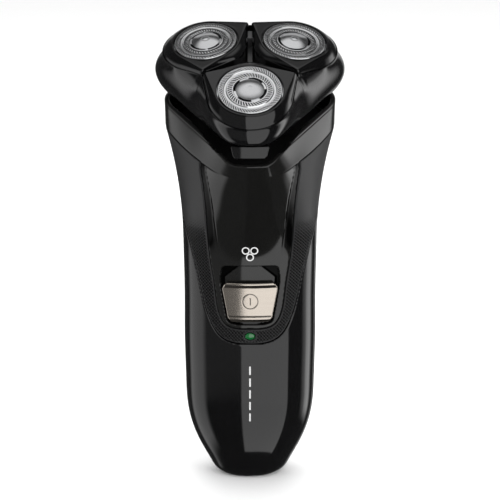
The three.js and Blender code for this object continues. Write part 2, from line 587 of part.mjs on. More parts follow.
armAzimuths.forEach((azimuth) => { bladeFrame = bladeFrame.add(frameArm(azimuth)); });
LOBES.forEach((azimuth) => {
  const pins = geometryOf(podPins(HINGE.pin, 9.2, 13.4));
  bladeFrame = bladeFrame.add(solidOf(podPlace(azimuth)(pins)));
});
add(head, 'blade_frame', bladeFrame, 'innerBlack');

// Ring of the head outline at depth z, kept clear of the frame arm on either side.
function lobeRing(circle, corner, z, count = 30) {
  return range(count).map((i) => {
    const azimuth = -Math.PI + (2 * Math.PI * i) / count;
    const towardsArm = 0.5 * Math.abs(Math.sin(azimuth))
      - Math.sin(rad(60)) * Math.cos(rad(DISC_CANT)) * Math.cos(azimuth);
    const room = Math.sin(rad(60)) * (DISC_PITCH + z * Math.sin(rad(DISC_CANT)))
      - ARM.half - GAP;
    const widest = towardsArm > 0.1 ? room / towardsArm : Infinity;
    const radius = Math.min(lobeRadius(azimuth, circle, corner), widest);
    return v3(radius * Math.cos(azimuth), radius * Math.sin(azimuth), z);
  });
}
function podShell() {
  return loft([
    lobeRing(SKIRT_CIRCLE, SKIRT_CORNER, -5.6), lobeRing(SKIRT_CIRCLE, SKIRT_CORNER, -SKIRT_DEPTH),
    lobeRing(TOP_CIRCLE, TOP_CORNER, -0.2), lobeRing(TOP_CIRCLE - 0.2, TOP_CORNER, 0),
  ]).subtract(rod(12.4, -8, -1.6, 0, 0, 22)).subtract(rod(11, -3, 1, 0, 0, 22))
    .subtract(podPins(0.85, 8, 20));
}

// Slotted outer cap: rim flange, outer wall, shaving face with a groove between two tracks.
const CAP_PROFILE = [[4.95, -0.5], [10.2, -0.5], [10.2, -2.6], [12, -2.6], [12, -2],
  [10.7, -2], [10.7, -0.2], [10.4, 0], [8.4, 0], [8, -0.25], [7.6, 0], [4.95, 0], [4.95, -0.5]];
const CENTRE_PROFILE = [[0, -1.1], [4.6, -1.1], [4.65, 0.1], [3.6, 0.35], [0, 0.45]];
const RETAINER_PROFILE = [[5.2, -5.6], [12, -5.6], [12, -5.1], [5.2, -5.1], [5.2, -5.6]];
const BLADES = 8;
function cutterSolid() {
  let solid = rod(9.4, -3.9, -3.2, 0, 0, 20).add(rod(4, -5.3, -1.6, 0, 0, 12));
  for (const i of range(BLADES)) {
    const blade = new THREE.BoxGeometry(4.6, 0.7, 2.6).rotateX(rad(18));
    blade.translate(7.3, 0, -2.1).rotateZ((2 * Math.PI * i) / BLADES);
    solid = solid.add(solidOf(blade));
  }
  return solid.subtract(block(-2.6, 2.6, -1.5, 1.5, -6, -2.4)).subtract(rod(FAR, -0.8, 1));
}

function cuttingHead(side, azimuth) {
  const pod = new THREE.Group();
  const [x, y] = polar(DISC_PITCH, azimuth);
  pod.position.set(x, y, 0);
  pod.rotation.set(0, rad(DISC_CANT), rad(azimuth), 'ZYX');
  head.add(pod);
  add(pod, `pod_${side}`, podShell(), 'satinBlack');
  add(pod, `cap_${side}`, turned(CAP_PROFILE, 22), 'steel');
  add(pod, `cap_centre_${side}`, turned(CENTRE_PROFILE, 16), 'steel');
  add(pod, `cutter_${side}`, cutterSolid(), 'blade');
  add(pod, `retainer_${side}`, turned(RETAINER_PROFILE, 20), 'nylon');
}
LOBES.forEach((azimuth, i) => cuttingHead(SIDES[i], azimuth));

export default shaver;
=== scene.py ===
"""Looks of the cordless rotary shaver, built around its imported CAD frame.

Shapes are worked out in millimetres in the part's frame (+Z up, front towards -Y) and
turned into metres when a mesh is made.
"""
import math

import bpy
import numpy as np
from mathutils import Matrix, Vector


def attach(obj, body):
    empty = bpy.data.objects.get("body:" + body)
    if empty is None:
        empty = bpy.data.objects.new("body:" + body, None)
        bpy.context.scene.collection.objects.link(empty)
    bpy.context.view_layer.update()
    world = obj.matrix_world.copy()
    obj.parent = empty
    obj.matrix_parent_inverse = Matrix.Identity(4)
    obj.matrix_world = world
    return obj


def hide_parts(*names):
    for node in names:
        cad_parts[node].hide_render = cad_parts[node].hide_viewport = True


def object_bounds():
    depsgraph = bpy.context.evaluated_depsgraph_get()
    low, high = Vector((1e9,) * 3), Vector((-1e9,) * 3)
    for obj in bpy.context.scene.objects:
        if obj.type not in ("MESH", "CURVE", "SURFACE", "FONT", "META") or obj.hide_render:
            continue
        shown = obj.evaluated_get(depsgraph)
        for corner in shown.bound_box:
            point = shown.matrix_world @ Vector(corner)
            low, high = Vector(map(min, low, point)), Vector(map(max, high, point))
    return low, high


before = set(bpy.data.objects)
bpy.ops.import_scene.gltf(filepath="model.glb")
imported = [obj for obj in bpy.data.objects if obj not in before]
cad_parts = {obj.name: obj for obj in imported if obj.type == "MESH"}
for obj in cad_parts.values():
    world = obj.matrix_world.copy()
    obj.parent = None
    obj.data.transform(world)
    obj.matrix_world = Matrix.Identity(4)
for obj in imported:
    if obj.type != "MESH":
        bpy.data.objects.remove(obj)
CAD_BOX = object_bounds()
MM = 0.001
SIDES = {"front": math.radians(-90), "right": math.radians(30), "left": math.radians(150)}

# ---- driving dimensions (mm)
NECK_TILT = math.radians(18)
HEAD_TILT = math.radians(29)
DISC_CANT = math.radians(7)
HEAD_CENTRE = np.array([0.0, -5.5, 150.9])
PIVOT = np.array([0.0, 5.166, 131.658])
DISC_PITCH = 17.4
WALL = 2.0
GAP = 0.3
SEAM = GAP / 2
EDGE = 0.32  # rounding of a shell's parting edges
SHELL_DEPTH = 1.8  # how far a shell's parting edges reach inwards
FAR = 9.0  # further than any edge

# Handle sections: centre z and y, tilt in degrees, half width, front and back depth,
# share of the rounded triangle, corner radius. The last row is the collar's crease.
SECTIONS = np.array([
    [0, 0, 0, 10.0, 7.4, 7.4, 0, 12],
    [1, 0, 0, 11.5, 8.6, 8.6, 0, 12],
    [4.2, 0, 0, 14.0, 10.6, 10.4, 0, 12],
    [11.6, 0, 0, 17.9, 13.6, 13.2, 0, 12],
    [18.9, 0, 0, 20.8, 15.8, 15.2, 0, 12],
    [26.2, 0, 0, 22.3, 17.2, 16.6, 0, 12],
    [36, 0, 0, 22.8, 18, 17.7, 0, 12],
    [52, 0, 0, 23.1, 18.6, 18.4, 0, 12],
    [68, 0, 0, 23.0, 18.6, 18.6, 0, 12],
    [82, 0.2, 2, 23.2, 18.7, 18.7, 0, 12],
    [94, 0.6, 7, 23.8, 20, 19, 0.15, 13],
    [105, 1.1, 12.5, 25.1, 22.4, 20, 0.4, 15],
    [115, 1.5, 16, 27.2, 25, 21.2, 0.65, 15.5],
    [123.3, 1.8, 18, 29.6, 26, 23, 0.85, 15.7],
])
COLLAR_TOP = np.array([131.0, 1.5, 18, 29.8, 26, 23, 1, 12.3])
CREASE_Z, CREASE_Y = SECTIONS[-1][:2]
OVAL_POWER = 2.2
BASE_RINGS = np.array([0.02, 0.3, 0.6, 0.85, 0.96, 1.0])  # across the flat base


# ---- small maths
def smooth(t):
    t = np.clip(t, 0, 1)
    return t * t * (3 - 2 * t)


def natural_spline(x, knots, values):
    """Cubic spline with continuous curvature through values (one row per knot)."""
    h = np.diff(knots)
    n = len(knots)
    a = np.eye(n)
    b = np.zeros((n, values.shape[1]))
    for i in range(1, n - 1):
        a[i, i - 1:i + 2] = h[i - 1], 2 * (h[i - 1] + h[i]), h[i]
        b[i] = 6 * ((values[i + 1] - values[i]) / h[i] - (values[i] - values[i - 1]) / h[i - 1])
    m = np.linalg.solve(a, b)
    i = np.clip(np.searchsorted(knots, x) - 1, 0, n - 2)
    t = (x - knots[i])[:, None]
    step = h[i][:, None]
    left = step - t
    return ((m[i] * left ** 3 + m[i + 1] * t ** 3) / (6 * step)
            + (values[i] / step - m[i] * step / 6) * left
            + (values[i + 1] / step - m[i + 1] * step / 6) * t)


def curve_through(points, count=60):
    """Smooth open curve through a few 2-D points."""
    points = np.array(points, float)
    knots = np.concatenate([[0], np.cumsum(np.linalg.norm(np.diff(points, axis=0), axis=1))])
    return natural_spline(np.linspace(0, knots[-1], count), knots, points)


def around(count):
    """Azimuths spread evenly over a full turn."""
    return np.linspace(0, 2 * math.pi, count, endpoint=False)


def polar(r, azimuth, z):
    return np.stack(np.broadcast_arrays(r * np.cos(azimuth), r * np.sin(azimuth), z), -1)


def rotate(p, axis, angle):
    """Turns points about X, Y or Z, given as axis 0, 1 or 2."""
    c, s = math.cos(angle), math.sin(angle)
    a, b = (axis + 1) % 3, (axis + 2) % 3
    turned = np.array(p, float)
    turned[..., a] = p[..., a] * c - p[..., b] * s
    turned[..., b] = p[..., a] * s + p[..., b] * c
    return turned


def head_place(p):
    return rotate(p, 0, HEAD_TILT) + HEAD_CENTRE


def pod_place(azimuth):
    centre = DISC_PITCH * np.array([math.cos(azimuth), math.sin(azimuth), 0])
    return lambda p: head_place(rotate(rotate(p, 1, DISC_CANT), 2, azimuth) + centre)


def neck_place(p):
    return rotate(p, 0, NECK_TILT) + PIVOT


def off_lobe(azimuth):
    turn = math.radians(120)
    return (azimuth + math.pi / 2 + turn / 2) % turn - turn / 2


def rounded_triangle(azimuth, half_width, corner):
    """Polar radius of a triangle with round corners towards the three heads."""
    flat = (half_width + (math.sqrt(3) - 1) * corner) / math.sqrt(3)
    lobe = 2 * (flat - corner)
    off = np.abs(off_lobe(azimuth))
    arc_end = np.arctan2(corner * math.sin(math.radians(60)), lobe + corner / 2)
    arc = lobe * np.cos(off) + np.sqrt(np.maximum(0, corner ** 2 - (lobe * np.sin(off)) ** 2))
    return np.where(off > arc_end, flat / np.cos(math.radians(60) - off), arc)


def blur_round(values, width, axis=-1):
    """Gaussian blur along a closed axis, width in samples."""
    reach = int(3 * width) + 1
    offsets = np.arange(-reach, reach + 1)
    weights = np.exp(-0.5 * (offsets / width) ** 2)
    weights /= weights.sum()
    return sum(w * np.roll(values, o, axis) for w, o in zip(weights, offsets))


# ---- handle surface
def section_rows(z):
    """Section parameters at heights z; straight between the crease and the collar's top."""
    below = natural_spline(np.minimum(z, CREASE_Z), SECTIONS[:, 0], SECTIONS)
    share = np.clip((z - CREASE_Z) / (COLLAR_TOP[0] - CREASE_Z), 0, 1)[:, None]
    return below * (1 - share) + COLLAR_TOP * share


def ring_points(rows, azimuth, inset=0.0, lift=0.0, scale=1.0):
    z, y, tilt, half, front, back, share, corner = [c[:, None] for c in rows.T]
    az = azimuth[None, :]
    depth = np.where(np.sin(az) < 0, front, back)
    oval = ((np.abs(np.cos(az)) / half) ** OVAL_POWER
            + (np.abs(np.sin(az)) / depth) ** OVAL_POWER) ** (-1 / OVAL_POWER)
    radius = oval * (1 - share) + rounded_triangle(az, half, corner) * share
    radius = blur_round(radius, len(azimuth) / 120)
    inset, lift, scale = [np.reshape(v, (-1, 1)) for v in (inset, lift, scale)]
    radius = (radius - inset) * scale
    tilt = np.radians(tilt)
    along = radius * np.sin(az)
    return np.stack([
        radius * np.cos(az),
        y + along * np.cos(tilt) - lift * np.sin(tilt),
        z + along * np.sin(tilt) + lift * np.cos(tilt),
    ], -1)


def grid_steps(f, wrap=True):
    """How a field changes from column to column and from row to row."""
    across = (np.roll(f, -1, 1) - np.roll(f, 1, 1)) / 2 if wrap else np.gradient(f, axis=1)
    return across, np.gradient(f, axis=0)


def grid_normals(p, wrap=True):
    n = np.cross(*grid_steps(p, wrap))
    return n / np.maximum(np.linalg.norm(n, axis=-1, keepdims=True), 1e-9)


def surface_distance(f, p):
    """Turns a field that is zero on a line into millimetres from that line on the surface."""
    (pu, pv), (fu, fv) = grid_steps(p), grid_steps(f)
    guu, gvv, guv = (pu * pu).sum(-1), (pv * pv).sum(-1), (pu * pv).sum(-1)
    area = np.maximum(guu * gvv - guv ** 2, 1e-12)
    slope = np.sqrt(np.maximum(gvv * fu ** 2 - 2 * guv * fu * fv + guu * fv ** 2, 0) / area)
    return f / np.clip(slope, 0.25, None)


def within(p, *fields):
    """Distance to the nearest of several lines, positive where all the fields are."""
    return np.minimum.reduce([surface_distance(f, p) for f in fields])


# ---- 2-D distances
def line_distance(points, line):
    """Distance from each 2-D point to an open polyline."""
    best = np.full(points.shape[:-1], np.inf)
    for a, b in zip(line[:-1], line[1:]):
        ab = b - a
        t = np.clip(((points - a) @ ab) / max(ab @ ab, 1e-12), 0, 1)
        best = np.minimum(best, ((points - a - t[..., None] * ab) ** 2).sum(-1))
    return np.sqrt(best)


def outline_distance(points, outline):
    """Signed distance to a closed outline, positive inside."""
    outline = np.array(outline, float)
    closed = np.vstack([outline, outline[:1]])
    inside = np.zeros(points.shape[:-1], bool)
    for (x0, y0), (x1, y1) in zip(closed[:-1], closed[1:]):
        crosses = (y0 > points[..., 1]) != (y1 > points[..., 1])
        at = x0 + (points[..., 1] - y0) * (x1 - x0) / ((y1 - y0) or 1e-12)
        inside ^= crosses & (points[..., 0] < at)
    return np.where(inside, 1, -1) * line_distance(points, closed)


def fillet(outline, radius, steps=7):
    """Closed outline with its corners rounded."""
    outline = np.array(outline, float)
    result = []
    for i, corner in enumerate(outline):
        before, after = outline[i - 1] - corner, outline[(i + 1) % len(outline)] - corner
        lb, la = np.linalg.norm(before), np.linalg.norm(after)
        half = math.acos(np.clip(before @ after / (lb * la), -1, 1)) / 2
        cut = min(radius / math.tan(half), 0.45 * lb, 0.45 * la)
        a, b = corner + before / lb * cut, corner + after / la * cut
        for t in np.linspace(0, 1, steps):
            result.append((1 - t) ** 2 * a + 2 * t * (1 - t) * corner + t * t * b)
    return np.array(result)


def mirrored(half):
    half = np.array(half, float)
    return np.vstack([half, (half * [-1, 1])[::-1]])


def above_curve(p, half_curve):
    """Signed XZ distance, positive between a U-shaped line and its mirror image."""
    x, z = np.abs(p[..., 0]), p[..., 2]
    line = curve_through(half_curve)
    top = line[0] + [0, 100]
    line = np.vstack([top, line])
    order = np.argsort(line[:, 1], kind="stable")
    limit = np.interp(z, line[order, 1], line[order, 0])
    inside = (x < limit) & (z > line[:, 1].min())
    return np.where(inside, 1, -1) * line_distance(np.stack([x, z], -1), line)


# ---- meshes
def new_piece(name, verts, faces, look, body, replaces=(), slot=None, sharp=40, hollow=None):
    """Mesh from millimetres, smooth shaded but for edges sharper than the given angle."""
    mesh = bpy.data.meshes.new(name)
    mesh.from_pydata((np.asarray(verts, float) * MM).tolist(), [],
                     [list(map(int, face)) for face in faces])
    if hollow is not None:
        mesh.attributes.new("hollow", "FLOAT", "POINT").data.foreach_set("value", hollow)
    mesh.validate()
    mesh.polygons.foreach_set("use_smooth", [True] * len(mesh.polygons))
    mesh.set_sharp_from_angle(angle=math.radians(sharp))
    mesh.materials.append(MAT[look])
    piece = bpy.data.objects.new(name, mesh)
    bpy.context.scene.collection.objects.link(piece)
    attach(piece, body)
    if replaces:
        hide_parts(*replaces)
    slot = slot or SLOTS.get(look)


def grid_faces(rows, cols, wrap=True, start=0):
    i = np.arange(rows * cols).reshape(rows, cols) + start
    nxt = np.roll(i, -1, 1) if wrap else i[:, 1:]
    cur = i if wrap else i[:, :-1]
    return np.stack([cur[:-1], nxt[:-1], nxt[1:], cur[1:]], -1).reshape(-1, 4)


class Batch:
    """Collects several meshes into one piece."""

    def __init__(self):
        self.verts, self.faces, self.count = [], [], 0

    def add(self, verts, faces):
        verts = np.asarray(verts, float).reshape(-1, 3)
        self.faces += [[int(v) + self.count for v in f] for f in faces]
        self.verts.append(verts)
        self.count += len(verts)

    def grid(self, p, wrap=True):
        self.add(p, grid_faces(*p.shape[:2], wrap).tolist())

    def lathe(self, profile, place, count):
        """Turned shape about Z; profile points are radius and z, upwards on the outside."""
        r, z = np.array(profile, float).T[..., None]
        self.grid(place(polar(r, around(count), z)))

    def piece(self, name, look, body, **options):
        new_piece(name, np.vstack(self.verts), self.faces, look, body, **options)


def trim(p, normals, d, relief=None, edge=EDGE, depth=SHELL_DEPTH, wrap=True):
    """Part of a surface where d > 0, its border rounded over and given a wall inwards.

    Returns the vertices, the faces and how far each vertex is sunk by the relief.
    """
    rows, cols = d.shape
    relief = np.zeros(d.shape) if relief is None else relief
    quads = grid_faces(rows, cols, wrap)
    flat_d = d.ravel()
    inside = flat_d > 0
    count = inside[quads].sum(1)
    faces = quads[count == 4].tolist()
    cuts = {}
    for quad in quads[(count > 0) & (count < 4)]:
        polygon = []
        for a, b in zip(quad, np.roll(quad, -1)):
            if inside[a]:
                polygon.append(int(a))
            if inside[a] != inside[b]:
                key = (min(a, b), max(a, b))
                polygon.append(cuts.setdefault(key, rows * cols + len(cuts)))
        faces.append(polygon)
    ends = np.array(list(cuts), int).reshape(-1, 2)
    da, db = flat_d[ends[:, 0]], flat_d[ends[:, 1]]
    t = (da / (da - db))[:, None]

    def with_cuts(values):
        flat = values.reshape(rows * cols, -1)
        return np.vstack([flat, flat[ends[:, 0]] * (1 - t) + flat[ends[:, 1]] * t])

    points, normal = with_cuts(p), with_cuts(normals)
    border = np.concatenate([flat_d, np.zeros(len(ends))])
    sunk = with_cuts(relief)[:, 0]
    near = np.clip(edge - border, 0, edge)
    sink = sunk + edge - np.sqrt(np.maximum(edge ** 2 - near ** 2, 0))
    outer = points - normal * sink[:, None]
    directed = dict.fromkeys(pair for polygon in faces
                             for pair in zip(polygon, polygon[1:] + polygon[:1]))
    rim = [(a, b) for a, b in directed if (b, a) not in directed]
    inner_of = {}
    for pair in rim:
        for v in pair:
            inner_of.setdefault(v, len(points) + len(inner_of))
    inner = np.array([points[v] - normal[v] * depth for v in inner_of]).reshape(-1, 3)
    faces += [[b, a, inner_of[a], inner_of[b]] for a, b in rim]
    verts = np.vstack([outer, inner])
    used = np.unique(np.concatenate([np.array(f) for f in faces]))
    renumber = np.zeros(len(verts), int)
    renumber[used] = np.arange(len(used))
    hollow = np.concatenate([sunk, np.zeros(len(inner))])
    return verts[used], [[int(renumber[v]) for v in f] for f in faces], hollow[used]


def shell(name, look, body, surface, d, relief=None, edge=EDGE, depth=SHELL_DEPTH, wrap=True,
          **options):
    """One piece cut from a surface, given as points and normals."""
    verts, faces, hollow = trim(*surface, d, relief, edge, depth, wrap)
    if relief is not None:
        options["hollow"] = hollow
    new_piece(name, verts, faces, look, body, **options)


# ---- materials
class Graph:
    """Short way to write shader nodes."""

    def __init__(self, tree):
        self.tree = tree

    def fill(self, node, inputs):
        for key, value in inputs.items():
            if isinstance(value, bpy.types.NodeSocket):
                self.tree.links.new(value, node.inputs[key])
            else:
                node.inputs[key].default_value = value

    def add(self, kind, inputs, output=None, **settings):
        """New node with these settings and inputs; returns it, or one of its outputs."""
        node = self.tree.nodes.new("ShaderNode" + kind)
        for key, value in settings.items():
            setattr(node, key, value)
        self.fill(node, inputs)
        return node if output is None else node.outputs[output]

    def math(self, operation, *values):
        return self.add("Math", dict(enumerate(values)), 0, operation=operation)

    def step(self, value, edge, soft):
        """0 below the edge and 1 above it, smooth over soft on either side."""
        limits = {"From Min": edge - soft, "From Max": edge + soft}
        return self.add("MapRange", {"Value": value, **limits}, "Result",
                        interpolation_type="SMOOTHSTEP")


MOTTLE_SCALE = 55
COAT_ROUGHNESS = 0.03
BUMP_DISTANCE = 0.0002  # metres
GROOVE_SHADE = 0.12  # painted shade: share of the colour and specular kept where a groove or engraved line is sunk deepest


def node_material(name, color, rough, metallic=0.0, coat=0.0, grain=1500, bump=0.1,
                  mottle=0.15, rough_spread=0.04, stretch=(1, 1, 1), emission=0.0, painted_shade_depth=0.0):
    """Principled surface with procedural colour, roughness and fine bump variation.

    painted_shade_depth is the depth in millimetres of sunk relief at which grooves and engraved
    lines are painted fully dark, as painted shade.
    """
    material = bpy.data.materials.new(name)
    material.use_nodes = True
    graph = Graph(material.node_tree)
    shader = material.node_tree.nodes["Principled BSDF"]
    place = graph.add("TexCoord", {}, "Object")
    vector = graph.add("Mapping", {"Vector": place, "Scale": stretch}, "Vector")
    fine, broad = [
        graph.add("TexNoise", {"Vector": vector, "Scale": scale, "Detail": detail}, "Fac")
        for scale, detail in ((grain, 3), (MOTTLE_SCALE, 2))]
    dark, light = [(*[min(1, c * (1 + sign * mottle)) for c in color], 1) for sign in (-1, 1)]
    tint = graph.add("Mix", {"Factor": broad, "A": dark, "B": light}, "Result", data_type="RGBA")
    spread = graph.add("MapRange", {"Value": fine, "To Min": max(0.01, rough - rough_spread),
                                    "To Max": rough + rough_spread}, "Result")
    graph.fill(shader, {"Base Color": tint, "Roughness": spread, "Metallic": metallic,
                        "Coat Weight": coat, "Coat Roughness": COAT_ROUGHNESS})
    # painted shade: colour and specular are darkened by how deep the relief sinks the surface
    if painted_shade_depth:
        hollow = graph.add("Attribute", {}, "Fac", attribute_name="hollow")
        lit = graph.add("MapRange", {"Value": hollow, "From Max": painted_shade_depth, "To Min": 1.0,
                                     "To Max": GROOVE_SHADE}, "Result")
        shade = graph.add("Mix", {"Factor": lit, "A": (0, 0, 0, 1), "B": tint}, "Result",
                          data_type="RGBA")
        graph.fill(shader, {"Base Color": shade,
                            "Specular IOR Level": graph.math("MULTIPLY", lit, 0.5)})
    if emission:
        graph.fill(shader, {"Emission Color": tint, "Emission Strength": emission})
    if bump:
        normal = graph.add("Bump", {"Height": fine, "Strength": bump, "Distance": BUMP_DISTANCE},
                           "Normal")
        graph.fill(shader, {"Normal": normal})
    return material


BLACK = (0.0024, 0.0024, 0.0026)
MAT = {look: node_material(name, color, rough, **more) for look, name, color, rough, more in (
    ("gloss", "gloss_black", BLACK, 0.07, dict(grain=220, bump=0.006, rough_spread=0.015)),
    # panel is the gloss black with painted shade in its sunk relief; looks given
    # painted_shade_depth get painted shade in grooves and engraved lines
    ("panel", "panel_black", (0.0065, 0.0065, 0.0062), 0.08,
     dict(grain=220, bump=0.006, rough_spread=0.015, painted_shade_depth=0.1)),
    ("satin", "satin_black", (0.008, 0.008, 0.0085), 0.32,
     dict(grain=2500, bump=0.12, painted_shade_depth=0.5)),
    ("grip", "grip_black", (0.0095, 0.0095, 0.01), 0.46, dict(grain=3500, bump=0.2, painted_shade_depth=0.22)),
    ("inner", "inner_black", (0.004, 0.004, 0.004), 0.6, dict(grain=1800, bump=0.2)),
    ("soft", "rubber_black", (0.003, 0.003, 0.003), 0.75, dict(grain=2600, bump=0.3)),
    ("champagne", "champagne_metal", (0.5, 0.45, 0.395), 0.17,
     dict(metallic=1, grain=900, bump=0.05, mottle=0.05, stretch=(1, 1, 9), painted_shade_depth=0.2)),
    ("steel", "cap_steel", (0.7, 0.705, 0.715), 0.17, dict(metallic=1, bump=0.08, mottle=0.1)),
    # dome: a darker copy of the cap steel, toned down to dim the domes' reflection, a painted shade
    ("dome", "dome_steel", (0.6, 0.605, 0.615), 0.2,
     dict(metallic=1, grain=900, bump=0.05, mottle=0.06)),
    ("frame", "frame_grey", (0.05, 0.05, 0.052), 0.35, dict()),
    # blade: steel coloured far darker than bare steel, painted shade for the dim inside of the pods
    ("blade", "blade_steel", (0.08, 0.082, 0.086), 0.35,
     dict(metallic=1, grain=1800, mottle=0.1, stretch=(1, 6, 1))),
    ("brass", "brass", (0.72, 0.5, 0.22), 0.3, dict(metallic=1, grain=1400, bump=0.08)),
    ("nylon", "nylon", (0.62, 0.6, 0.52), 0.42, dict()),
    ("board", "board_green", (0.02, 0.13, 0.05), 0.35, dict(grain=900)),
    ("cell", "cell_blue", (0.03, 0.1, 0.32), 0.25, dict(grain=500, bump=0.03)),
    ("lamp", "lamp_green", (0.004, 0.09, 0.02), 0.15,
     dict(coat=1.0, grain=400, bump=0.01, emission=0.008)),
    ("print", "print_grey", (0.62, 0.62, 0.62), 0.45, dict(grain=2400, bump=0.05, mottle=0.06)),
)}
SLOTS = {  # material slot name for each look, looked up when a piece is made
    "gloss": "gloss_black", "panel": "gloss_black", "satin": "satin_black", "grip": "soft_grip",
    "soft": "soft_black", "champagne": "champagne_metal", "steel": "steel", "dome": "steel",
    "blade": "blade_steel", "lamp": "lamp_green",
}
CAD_LOOKS = {
    "steel": ["motor_shaft", "board_screw_low", "board_screw_high", "charging_pin_left",
              "charging_pin_right", "trimmer_comb", "trimmer_hinge_pin", "motor_can"],
    "blade": ["trimmer_blade"],
    "brass": ["battery_contact_top", "battery_contact_bottom"],
    "nylon": ["switch_lever", "led_chip", "drive_pinion"],
    "inner": ["trimmer_bay", "chassis", "slide_switch", "charging_socket", "motor_cradle",
              "neck_deck", "gimbal_ring", "hair_tray"],
    "frame": ["blade_frame"],
    "board": ["circuit_board"],
    "cell": ["battery_cell"],
}
for side in SIDES:
    CAD_LOOKS["nylon"] += [f"drive_gear_{side}", f"coupler_{side}", f"retainer_{side}"]


def paint_cad_nodes():
    for look, names in CAD_LOOKS.items():
        for name in names:
            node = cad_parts[name]
            node.data.materials.clear()
            node.data.materials.append(MAT[look])


# ---- lines that split the handle
FASCIA_EDGE = [[16.9, 114], [15.6, 104.7], [14.8, 93], [13.4, 81], [12.2, 73.5], [10.8, 64.5],
               [8.2, 60.2], [4, 59], [0, 59]]
GRIP_EDGE = [[34, 118], [29.5, 110], [26, 102], [23.3, 95], [20.5, 86.4], [17.4, 74.4],
             [13.7, 61], [9.8, 55.6], [4.5, 53.7], [0, 53.5]]
POCKET = [[5.5, 81.2], [9.6, 81.2], [10.3, 77.2], [10.1, 74], [9.2, 68.5], [7.9, 61.2],
          [4.5, 60.4]]
NOTCH = [[21, 133], [16.5, 126.6], [12.6, 123.0], [9.9, 121.1], [7.6, 119.2], [5.4, 118.2]]
POCKET_FLOOR = -17.5
POCKET_FILLET = 2.6
PARTING_LOW, PARTING_HIGH = -4.0, 8.0  # y of the line between front and rear shell
PARTING_BEND, PARTING_BEND_HEIGHT = 74, 33  # where it starts to bend, and over what height


def in_front_of(p):
    bent = smooth((p[..., 2] - PARTING_BEND) / PARTING_BEND_HEIGHT)
    return PARTING_LOW + (PARTING_HIGH - PARTING_LOW) * bent - p[..., 1]


def above_crease(p):
    z, y = p[..., 2] - CREASE_Z, p[..., 1] - CREASE_Y
    return z * math.cos(NECK_TILT) - y * math.sin(NECK_TILT)


def xz(p):
    return np.stack([p[..., 0], p[..., 2]], -1)


def pocket_distance(p):
    return outline_distance(xz(p), fillet(mirrored(POCKET), POCKET_FILLET))


def handle_surface(z_low, z_high, step, count, with_base=False):
    """Points and normals of the handle's skin between two heights."""
    z = np.linspace(z_low, z_high, int((z_high - z_low) / step) + 1)
    rows = section_rows(z)
    scale = np.ones(len(z))
    if with_base:
        rows = np.vstack([np.repeat(SECTIONS[:1], len(BASE_RINGS), 0), rows[1:]])
        scale = np.concatenate([BASE_RINGS, scale[1:]])
    p = ring_points(rows, around(count), scale=scale)
    return p, grid_normals(p)


def build_front_cover():
    p, n = handle_surface(0, 103, 0.4, 360, with_base=True)
    d = within(p, in_front_of(p), -above_curve(p, GRIP_EDGE)) - SEAM
    shell("front_cover_shell", "gloss", "handle", (p, n), d, replaces=["front_cover"])


KNURL_PERIODS = 108  # round the handle
KNURL_STEPS = 5  # mesh steps in each period
KNURL_DEPTH = 0.34
KNURL_TOP, KNURL_FADE = 99.0, 11  # the texture fades out over this height below the top
GRIP_RADIUS = 20.9
LAMP_HOLE = 1.12  # size of the lamp's hole as a share of the lamp


def build_grip():
    count = KNURL_PERIODS * KNURL_STEPS
    pitch = 2 * math.pi * GRIP_RADIUS / KNURL_PERIODS
    p, n = handle_surface(52, 132, pitch / KNURL_STEPS, count)
    d = within(p, above_curve(p, GRIP_EDGE), -above_curve(p, FASCIA_EDGE), in_front_of(p),
               -above_crease(p)) - SEAM
    lamp = np.hypot(p[..., 0] / LAMP_HALF[0], (p[..., 2] - LAMP_Z) / LAMP_HALF[1]) - LAMP_HOLE
    d = np.minimum(d, np.where(p[..., 1] < 0, lamp * LAMP_HALF[1], FAR))
    row, col = np.meshgrid(np.arange(p.shape[0]), np.arange(count), indexing="ij")
    groove = ((col + row) % KNURL_STEPS == 0) | ((col - row) % KNURL_STEPS == 0)
    fade = smooth((KNURL_TOP - p[..., 2]) / KNURL_FADE) * smooth((d - 0.35) / 0.3)
    # painted shade: the grip material darkens the knurl grooves by their depth
    shell("grip_panel_knurled", "grip", "handle", (p, n), d, KNURL_DEPTH * groove * fade,
          replaces=["grip_panel"], sharp=60)


STRIP_WIDTH = 3.6  # bevelled strip along each side of the centre panel
STRIP_SLOPE = 0.1
STRIP_LOW, STRIP_RISE = 84, 10  # the strip fades in over this height above its low end
LINE_HALF, LINE_DEPTH = 0.27, 0.16  # engraved lines, deep enough to be painted fully dark as shade by the panel material
RIM_ROUNDING = 0.75


def engraved(distance):
    return LINE_DEPTH * (1 - smooth(np.abs(distance) / LINE_HALF))


